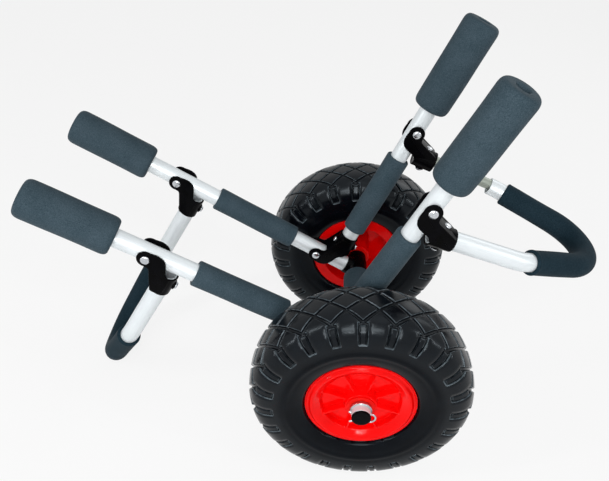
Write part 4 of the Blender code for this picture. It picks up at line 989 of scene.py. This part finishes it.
def make_rim(tag, place):
    """Outer face as a height over rows of radius, then the edge, the tyre seat and the dish."""
    a = angles(RIM_SIDES)
    r = rows_through((RIM_BORE, BOSS_R - 0.0004, 5), (BOSS_R, BOSS_R + 0.0018, 8),
                     (BOSS_R + 0.0028, WALL_R - 0.0026, 22), (*WALL_FLANK, 10),
                     (WALL_R + 0.0016, CREST_R, 10), (*CREST_FLANK, 10),
                     (RIM_R - 0.0030, RIM_R - 0.0022, 2))
    height = rim_face(r[:, None], a[None], RIB_AT[tag])
    face = np.stack(np.broadcast_arrays(height, r[:, None]), axis=-1)
    back = back_profile()
    section = np.concatenate((face, np.broadcast_to(back[:, None], (len(back), len(a), 2))))
    local = round_points(section[..., 0], section[..., 1], a)
    make_piece("ribbed_rim_" + tag, [surface(place_points(local, place), close_rows=True)], red,
               "wheel_" + tag, ["rim_" + tag])
    print("rim:", len(r), "rings on its face")


# %% Rims and their bushes
BUSH_R, BUSH_LENGTH, BUSH_EDGE = 0.0165, 0.0220, 0.0003
wheel_place = {tag: placement(pivot["wheel_spin_" + tag], (0, side, 0), (1, 0, 0))
               for tag, side in SIDES.items()}
bush_seat, bush_start = RIM_HALF + BOSS_RISE + FIT, BUSH_END - BUSH_LENGTH
barrel_r = RIM_BORE - FIT
bush = soften([(BUSH_END, TUBE_R + FIT), (BUSH_END, BUSH_R), (bush_seat, BUSH_R),
               (bush_seat, barrel_r), (bush_start, barrel_r), (bush_start, TUBE_R + FIT)],
              BUSH_EDGE)
for tag in SIDES:
    make_rim(tag, wheel_place[tag])
    for name, turn in (("outer", 1), ("inner", -1)):
        make_piece(f"{name}_wheel_bush_{tag}", [turned(bush * (turn, 1), wheel_place[tag])],
                   bearing, "wheel_" + tag, [f"{name}_bush_{tag}"])
print("bush:", round(1000 * BUSH_LENGTH), "mm long")

# %% [markdown]
# ## Tyres
# The tread repeats 23 times. Two families of slanting grooves cross and leave diamonds in the
# middle. Where they meet at the shoulder, a short channel runs on down the side with a small
# raised bar in it, and the big blocks between the channels fade into the smooth side.
# Displacement from a picture would need millions of faces for clean grooves, and a square grid
# would give the slanting ones ragged edges. So the grid leans: with t for the turn and v for the
# way across, its lines are p = t + v and q = t - v, which are the grooves.

# %% Section of the tyre
REPEATS, TREAD_EDGE, TYRE_R, TYRE_HALF = 23, 0.0295, 0.1300, 0.0405
BLUNT, CROWN_POINTS, WIDEST_SHARE = 0.72, 600, 0.436
WIDEST_R = RIM_R + WIDEST_SHARE * (TYRE_R - RIM_R)
BEAD = [(0.97 * TYRE_HALF, 0.0770), (0.0350, 0.0658), (0.0305, 0.0649), (0.0263, 0.0559)]
BEAD_ROUNDS = (0.001, 0.006, 0.002, 0.001, 0.001)


def tyre_section():
    """Half section from crown to bead: z = W sin^0.72 t and r = R0 + (R - R0) cos^0.72 t."""
    t = np.linspace(0, np.pi / 2, CROWN_POINTS)
    upper = np.stack((TYRE_HALF * np.sin(t) ** BLUNT,
                      WIDEST_R + (TYRE_R - WIDEST_R) * np.cos(t) ** BLUNT), axis=-1)
    lower = soften([upper[-1], *BEAD], BEAD_ROUNDS, closed=False)
    dense = np.concatenate((upper, lower[1:]))
    s = running_sum(np.linalg.norm(np.diff(dense, axis=0), axis=1))
    tangent = np.gradient(dense, axis=0)
    normal = np.stack((-tangent[:, 1], tangent[:, 0]), axis=-1)
    return s, dense, normal / np.linalg.norm(normal, axis=1, keepdims=True)


section_length = tyre_section()[0][-1]
print("tyre:", round(1000 * section_length, 1), "mm from crown to bead")


# %% Leaning grid of the tread
LEAN_BACK = (-0.0990, -0.0700)


def tread_grid(s, dense):
    """Turn in repeats, section mark and side of every point, from one bead to the other.

    Columns sit at q, close together across a groove, a channel and a bar. The crown's rows take
    p = q + 2v from -2 to 2. The rows down a side stay at one mark and turn back by one repeat,
    between the two radii of LEAN_BACK.
    """
    half = np.array([0.0, 0.040, 0.058, 0.078, 0.098, 0.116, 0.140, 0.158, 0.176, 0.194, 0.33, 0.5])
    nodes = np.concatenate((half, 1 - half[-2:0:-1]))
    columns = (np.arange(REPEATS)[:, None] + nodes).ravel()
    steps_across = np.arange(-2 * len(nodes), 2 * len(nodes) + 1)[:, None]
    ahead = np.arange(len(columns)) + steps_across
    p = columns[ahead % len(columns)] + REPEATS * (ahead // len(columns))
    q = np.broadcast_to(columns, p.shape)
    crown_turn, across = (p + q) / 2, (p - q) / 2
    crown_mark = np.interp(np.abs(across) * TREAD_EDGE, dense[:CROWN_POINTS, 0], s[:CROWN_POINTS])
    # Rings past the shoulder, along the channels, over their ends, down the side, on the bead
    radii = rows_through((0.1230, 0.1207, 5), (0.1190, 0.1050, 9), (0.1036, 0.0990, 8),
                         (0.0970, 0.0690, 14), (0.0672, 0.0660, 2), (0.0652, 0.0640, 2),
                         (0.0600, 0.0561, 2))
    lean = 1 - smooth_step(-radii, *LEAN_BACK)[:, None]
    side_turn, low_turn = columns + lean, (columns - lean)[::-1]
    side_mark = np.broadcast_to(np.interp(-radii, -dense[:, 1], s)[:, None], side_turn.shape)
    turn = np.concatenate((low_turn, crown_turn, side_turn))
    mark = np.concatenate((side_mark[::-1], crown_mark, side_mark))
    side = np.concatenate((-np.ones_like(low_turn), np.sign(across), np.ones_like(side_turn)))
    return turn, mark, side


# %% Grooves, channels and bars
GROOVE, GROOVE_FADE = (0.040, 0.116), (1.00, 1.06)
CHANNEL, CHANNEL_TOP, CHANNEL_FOOT = (0.140, 0.190), (0.97, 1.03), (0.0998, 0.1026)
BAR, BAR_TOP, BAR_FOOT, BAR_SHARE = (0.082, 0.118), (1.05, 1.10), (0.1010, 0.1030), 0.9
EDGE_STARTS, EDGE_ENDS = (0.01, 0.10), (0.22, 0.50)


def edge_band(share):
    """1 on the upper edge of a wall that falls from share 0 to share 1, and 0 away from it."""
    return smooth_step(share, *EDGE_STARTS) * (1 - smooth_step(share, *EDGE_ENDS))


def groove_share(turn, v, r):
    """0 on a block and 1 at the bottom of a groove, for a turn in repeats and v = z / edge.

    A slanting groove runs where turn + v or turn - v is a whole number. A channel runs where turn
    is a whole number, below the slanting grooves, and a bar stands in it. The second result is 1
    along the upper edges of the blocks and of the bars, where the tyre's pale edge colour goes:
    partly scuffing, partly a painted highlight.
    """
    lines = 0.0
    for value in (turn + v, turn - v):
        lines = np.maximum(lines, 1 - smooth_step(np.abs(value - np.round(value)), *GROOVE))
    lines = lines * (1 - smooth_step(np.abs(v), *GROOVE_FADE))
    off = np.abs(turn - np.round(turn))
    below = smooth_step(np.abs(v), *CHANNEL_TOP) * smooth_step(r, *CHANNEL_FOOT)
    channel = (1 - smooth_step(off, *CHANNEL)) * below
    bar_length = smooth_step(np.abs(v), *BAR_TOP) * smooth_step(r, *BAR_FOOT)
    bar = (1 - smooth_step(off, *BAR)) * bar_length
    edges = np.maximum(edge_band(np.maximum(lines, channel)), channel * edge_band(1 - bar))
    return np.maximum(lines, channel * (1 - BAR_SHARE * bar)), edges


# %% Tyres
GROOVE_DEPTH, RIDGE = 0.0030, 0.0009
RIDGE_FOOT, RIDGE_TOP = (0.0815, 0.0853), (0.0860, 0.0905)
POLISHED_FROM = (0.088, 0.100)
BAR_AT = {"near": 98.5, "far": -84.4}


def make_tyre(tag, place):
    """Section points moved in along their normal by the groove, out by a soft ridge on the side."""
    s, dense, normal = tyre_section()
    turn, mark, side = tread_grid(s, dense)
    z, r = (np.interp(mark, s, dense[:, i]) for i in (0, 1))
    out_z, out_r = (np.interp(mark, s, normal[:, i]) for i in (0, 1))
    share, wear = groove_share(turn, side * z / TREAD_EDGE, r)
    polish = smooth_step(r, *POLISHED_FROM)
    ridge = RIDGE * smooth_step(r, *RIDGE_FOOT) * (1 - smooth_step(r, *RIDGE_TOP))
    depth = GROOVE_DEPTH * share - ridge
    z, r = side * (z - out_z * depth), r - out_r * depth
    a = np.radians(BAR_AT[tag]) + 2 * np.pi * turn / REPEATS
    skin = surface(place_points(round_points(z, r, a), place), close_rows=True, split=True)
    tyre = make_piece("knobbly_tyre_" + tag, [skin], rubber, "wheel_" + tag, ["tyre_" + tag],
                      sharp=60.0)
    # The first attribute marks the pale block edges: a painted highlight, partly scuffing. The
    # second makes the tread glossier.
    for name, values in (("wear", wear), ("polish", polish)):
        attribute = tyre.data.attributes.new(name, "FLOAT", "POINT")
        attribute.data.foreach_set("value", values.astype(np.float32).ravel())
    print("tyre:", 2 * turn.size, "triangles")


for tag in SIDES:
    make_tyre(tag, wheel_place[tag])

# %% [markdown]
# ## Hairpin clips
# A clip is one length of bent wire that keeps a wheel on: a straight leg through the axle, a
# round eye beside it and a second leg that grips the axle from below. A curve object with a
# depth would do, but the sweep made for the U-bars takes any line, this one too.

# %% Clips
LEG_PAST, LEG_MIDDLE, UNDER_GAP = 0.0030, -0.0040, 0.0006
GRIP_X, GRIP_DIP, TIP_X, TIP_FLARE = -0.0050, 0.0003, -0.0110, 0.0030


def clip_line():
    """Centre line of the wire in (x, z): leg, half circle, leg with a flared tip."""
    turn_r = (TUBE_R + WIRE_R + UNDER_GAP) / 2
    low = -2 * turn_r
    eye = arc((TUBE_R, -turn_r), turn_r, 90, -90, 24)
    return np.array([(-TUBE_R - LEG_PAST, 0.0), (LEG_MIDDLE, 0.0), *eye, (0.0, low),
                     (GRIP_X, low - GRIP_DIP), (TIP_X, low - TIP_FLARE)])


def wire_places(line, origin):
    """Placements along a line in (x, z): Z follows the line, and X stays across, along +Y."""
    tangent = np.gradient(line, axis=0)
    tangent /= np.linalg.norm(tangent, axis=1, keepdims=True)
    places = np.tile(np.eye(4), (len(line), 1, 1))
    places[:, :3, 0] = (0, 1, 0)
    places[:, :3, 2] = np.insert(tangent, 1, 0.0, axis=1)
    places[:, :3, 1] = np.cross(places[:, :3, 2], places[:, :3, 0])
    places[:, :3, 3] = origin + np.insert(line, 1, 0.0, axis=1)
    return places


line = clip_line()
for tag in SIDES:
    places = wire_places(line, pivot["clip_pull_" + tag])
    wire = swept(places, np.full(len(line), WIRE_R), 16, closed=False)
    make_piece("hairpin_" + tag, [wire], zinc, "clip_slide_" + tag, ["hairpin_clip_" + tag])
print("clips:", len(line), "points on the wire")

# %% [markdown]
# ## Stage, light and camera
# The photograph shows the cart on plain white, lit from the camera's side. A white floor and
# world that also shone on the cart would wash out its black pieces. So they are bright only for
# the camera and in reflections, and light the cart much less. The floor still takes a faint
# shadow.

# %% Floor and surroundings
FLOOR_SIZE, FLOOR_DROP, FLOOR_GLOW = 60, 0.0004, 0.86
WORLD_LIGHT, WORLD_SHOWN = 0.21, 0.93
bpy.ops.mesh.primitive_plane_add(size=FLOOR_SIZE, location=(0, 0, -FLOOR_DROP))
floor = bpy.context.object
floor.name = "pale_floor"


def background_rays(tree):
    """1 for the rays that show the background: from the camera, off gloss, through clear matter."""
    rays = add_node(tree, "LightPath")
    seen = rays.outputs["Is Camera Ray"]
    for kind in ("Is Glossy Ray", "Is Transmission Ray"):
        either = add_node(tree, "Math", operation="MAXIMUM")
        tree.links.new(seen, either.inputs[0])
        tree.links.new(rays.outputs[kind], either.inputs[1])
        seen = either.outputs[0]
    return seen


# %% Finish of the floor and light of the world
paper, tree, shader = new_material("pale_paper", (0.92, 0.92, 0.92), 0.9)
glow = add_node(tree, "Emission", Color=(0.98, 0.98, 0.98, 1.0))
part = add_node(tree, "Math", operation="MULTIPLY")
part.inputs[1].default_value = FLOOR_GLOW
blend = add_node(tree, "MixShader")
tree.links.new(background_rays(tree), part.inputs[0])
tree.links.new(part.outputs[0], blend.inputs["Fac"])
tree.links.new(shader.outputs["BSDF"], blend.inputs[1])
tree.links.new(glow.outputs["Emission"], blend.inputs[2])
tree.links.new(blend.outputs["Shader"], tree.nodes["Material Output"].inputs["Surface"])
floor.data.materials.append(paper)

world = bpy.data.worlds.new("pale_surroundings")
bpy.context.scene.world = world
world.use_nodes = True
tree = world.node_tree
background = tree.nodes["Background"]
background.inputs["Color"].default_value = (1, 1, 1, 1)
strength = spread(tree, background_rays(tree), WORLD_LIGHT, WORLD_SHOWN)
tree.links.new(strength, background.inputs["Strength"])
print("floor", 1000 * FLOOR_DROP, "mm below the ground, and", world.name)

# %% [markdown]
# A broad lamp stands in front, a little lower than the camera, with a smaller one above it. A
# low, flat one gives the rims their glint. Two narrow strips at the sides draw bright lines
# along tubes and foam, a faint lamp hangs overhead, and one behind keeps the back from going
# black. A single sun would be simpler, but it gives round pieces no soft highlights.

# %% Lamps
LAMP_CENTRE = np.array([0.05, -0.05, 0.2])


def soft_lamp(name, bearing_deg, height_deg, distance, size, power):
    """Area lamp that faces the cart, by its direction from -Y towards +X and its height angle."""
    data = bpy.data.lights.new(name, "AREA")
    data.shape = "RECTANGLE"
    data.size, data.size_y = size
    data.energy = power
    lamp = bpy.data.objects.new(name, data)
    bpy.context.scene.collection.objects.link(lamp)
    b, h = np.radians((bearing_deg, height_deg))
    towards = np.array([np.sin(b) * np.cos(h), -np.cos(b) * np.cos(h), np.sin(h)])
    right = np.array([np.cos(b), np.sin(b), 0.0])
    place = placement(LAMP_CENTRE + distance * towards, towards, right)
    lamp.matrix_world = Matrix(place.tolist())


# Bearing and height in degrees, distance and size in metres, power in watts
lamps = {"key": (-5, 31, 1.7, (0.9, 0.42), 9.5),
         "rim_glint": (-3, 17.5, 1.7, (0.45, 0.06), 4.4),
         "camera_side": (-8, 47, 1.7, (0.4, 0.4), 4.5),
         "overhead": (0, 80, 1.5, (1.0, 0.7), 1),
         "left_strip": (-62, 26, 1.6, (0.05, 1.1), 6),
         "right_strip": (66, 30, 1.6, (0.03, 0.8), 3),
         "back_fill": (135, 35, 2.0, (0.9, 0.9), 4.5)}
for name, values in lamps.items():
    soft_lamp(name, *values)
print("lamps:", len(lamps))

# %% [markdown]
# The camera stands where the photograph was taken. It could be placed by eye, but then the
# picture and the photograph would not lie on each other. Its place, its two directions and its
# focal length come from a fit to the ellipses of the rims and the edges of the tubes.

# %% Camera
FOCAL_PIXELS, PICTURE_PIXELS, SENSOR = 654.2, 609, 36.0
EYE_FROM_AXLE = (-0.1086, -0.6775, 0.5710)
forward = np.array([0.0294, 0.8172, -0.5757])
right = np.array([0.9917, 0.0481, 0.1190])
camera_data = bpy.data.cameras.new("photo_camera")
camera_data.sensor_width = SENSOR
camera_data.lens = FOCAL_PIXELS / PICTURE_PIXELS * SENSOR
camera = bpy.data.objects.new("photo_camera", camera_data)
bpy.context.scene.collection.objects.link(camera)
camera.matrix_world = Matrix(placement(axle_centre + EYE_FROM_AXLE, -forward, right).tolist())
bpy.context.scene.camera = camera
bpy.context.scene.view_settings.view_transform = "Standard"
print("lens", round(camera_data.lens, 2), "mm")
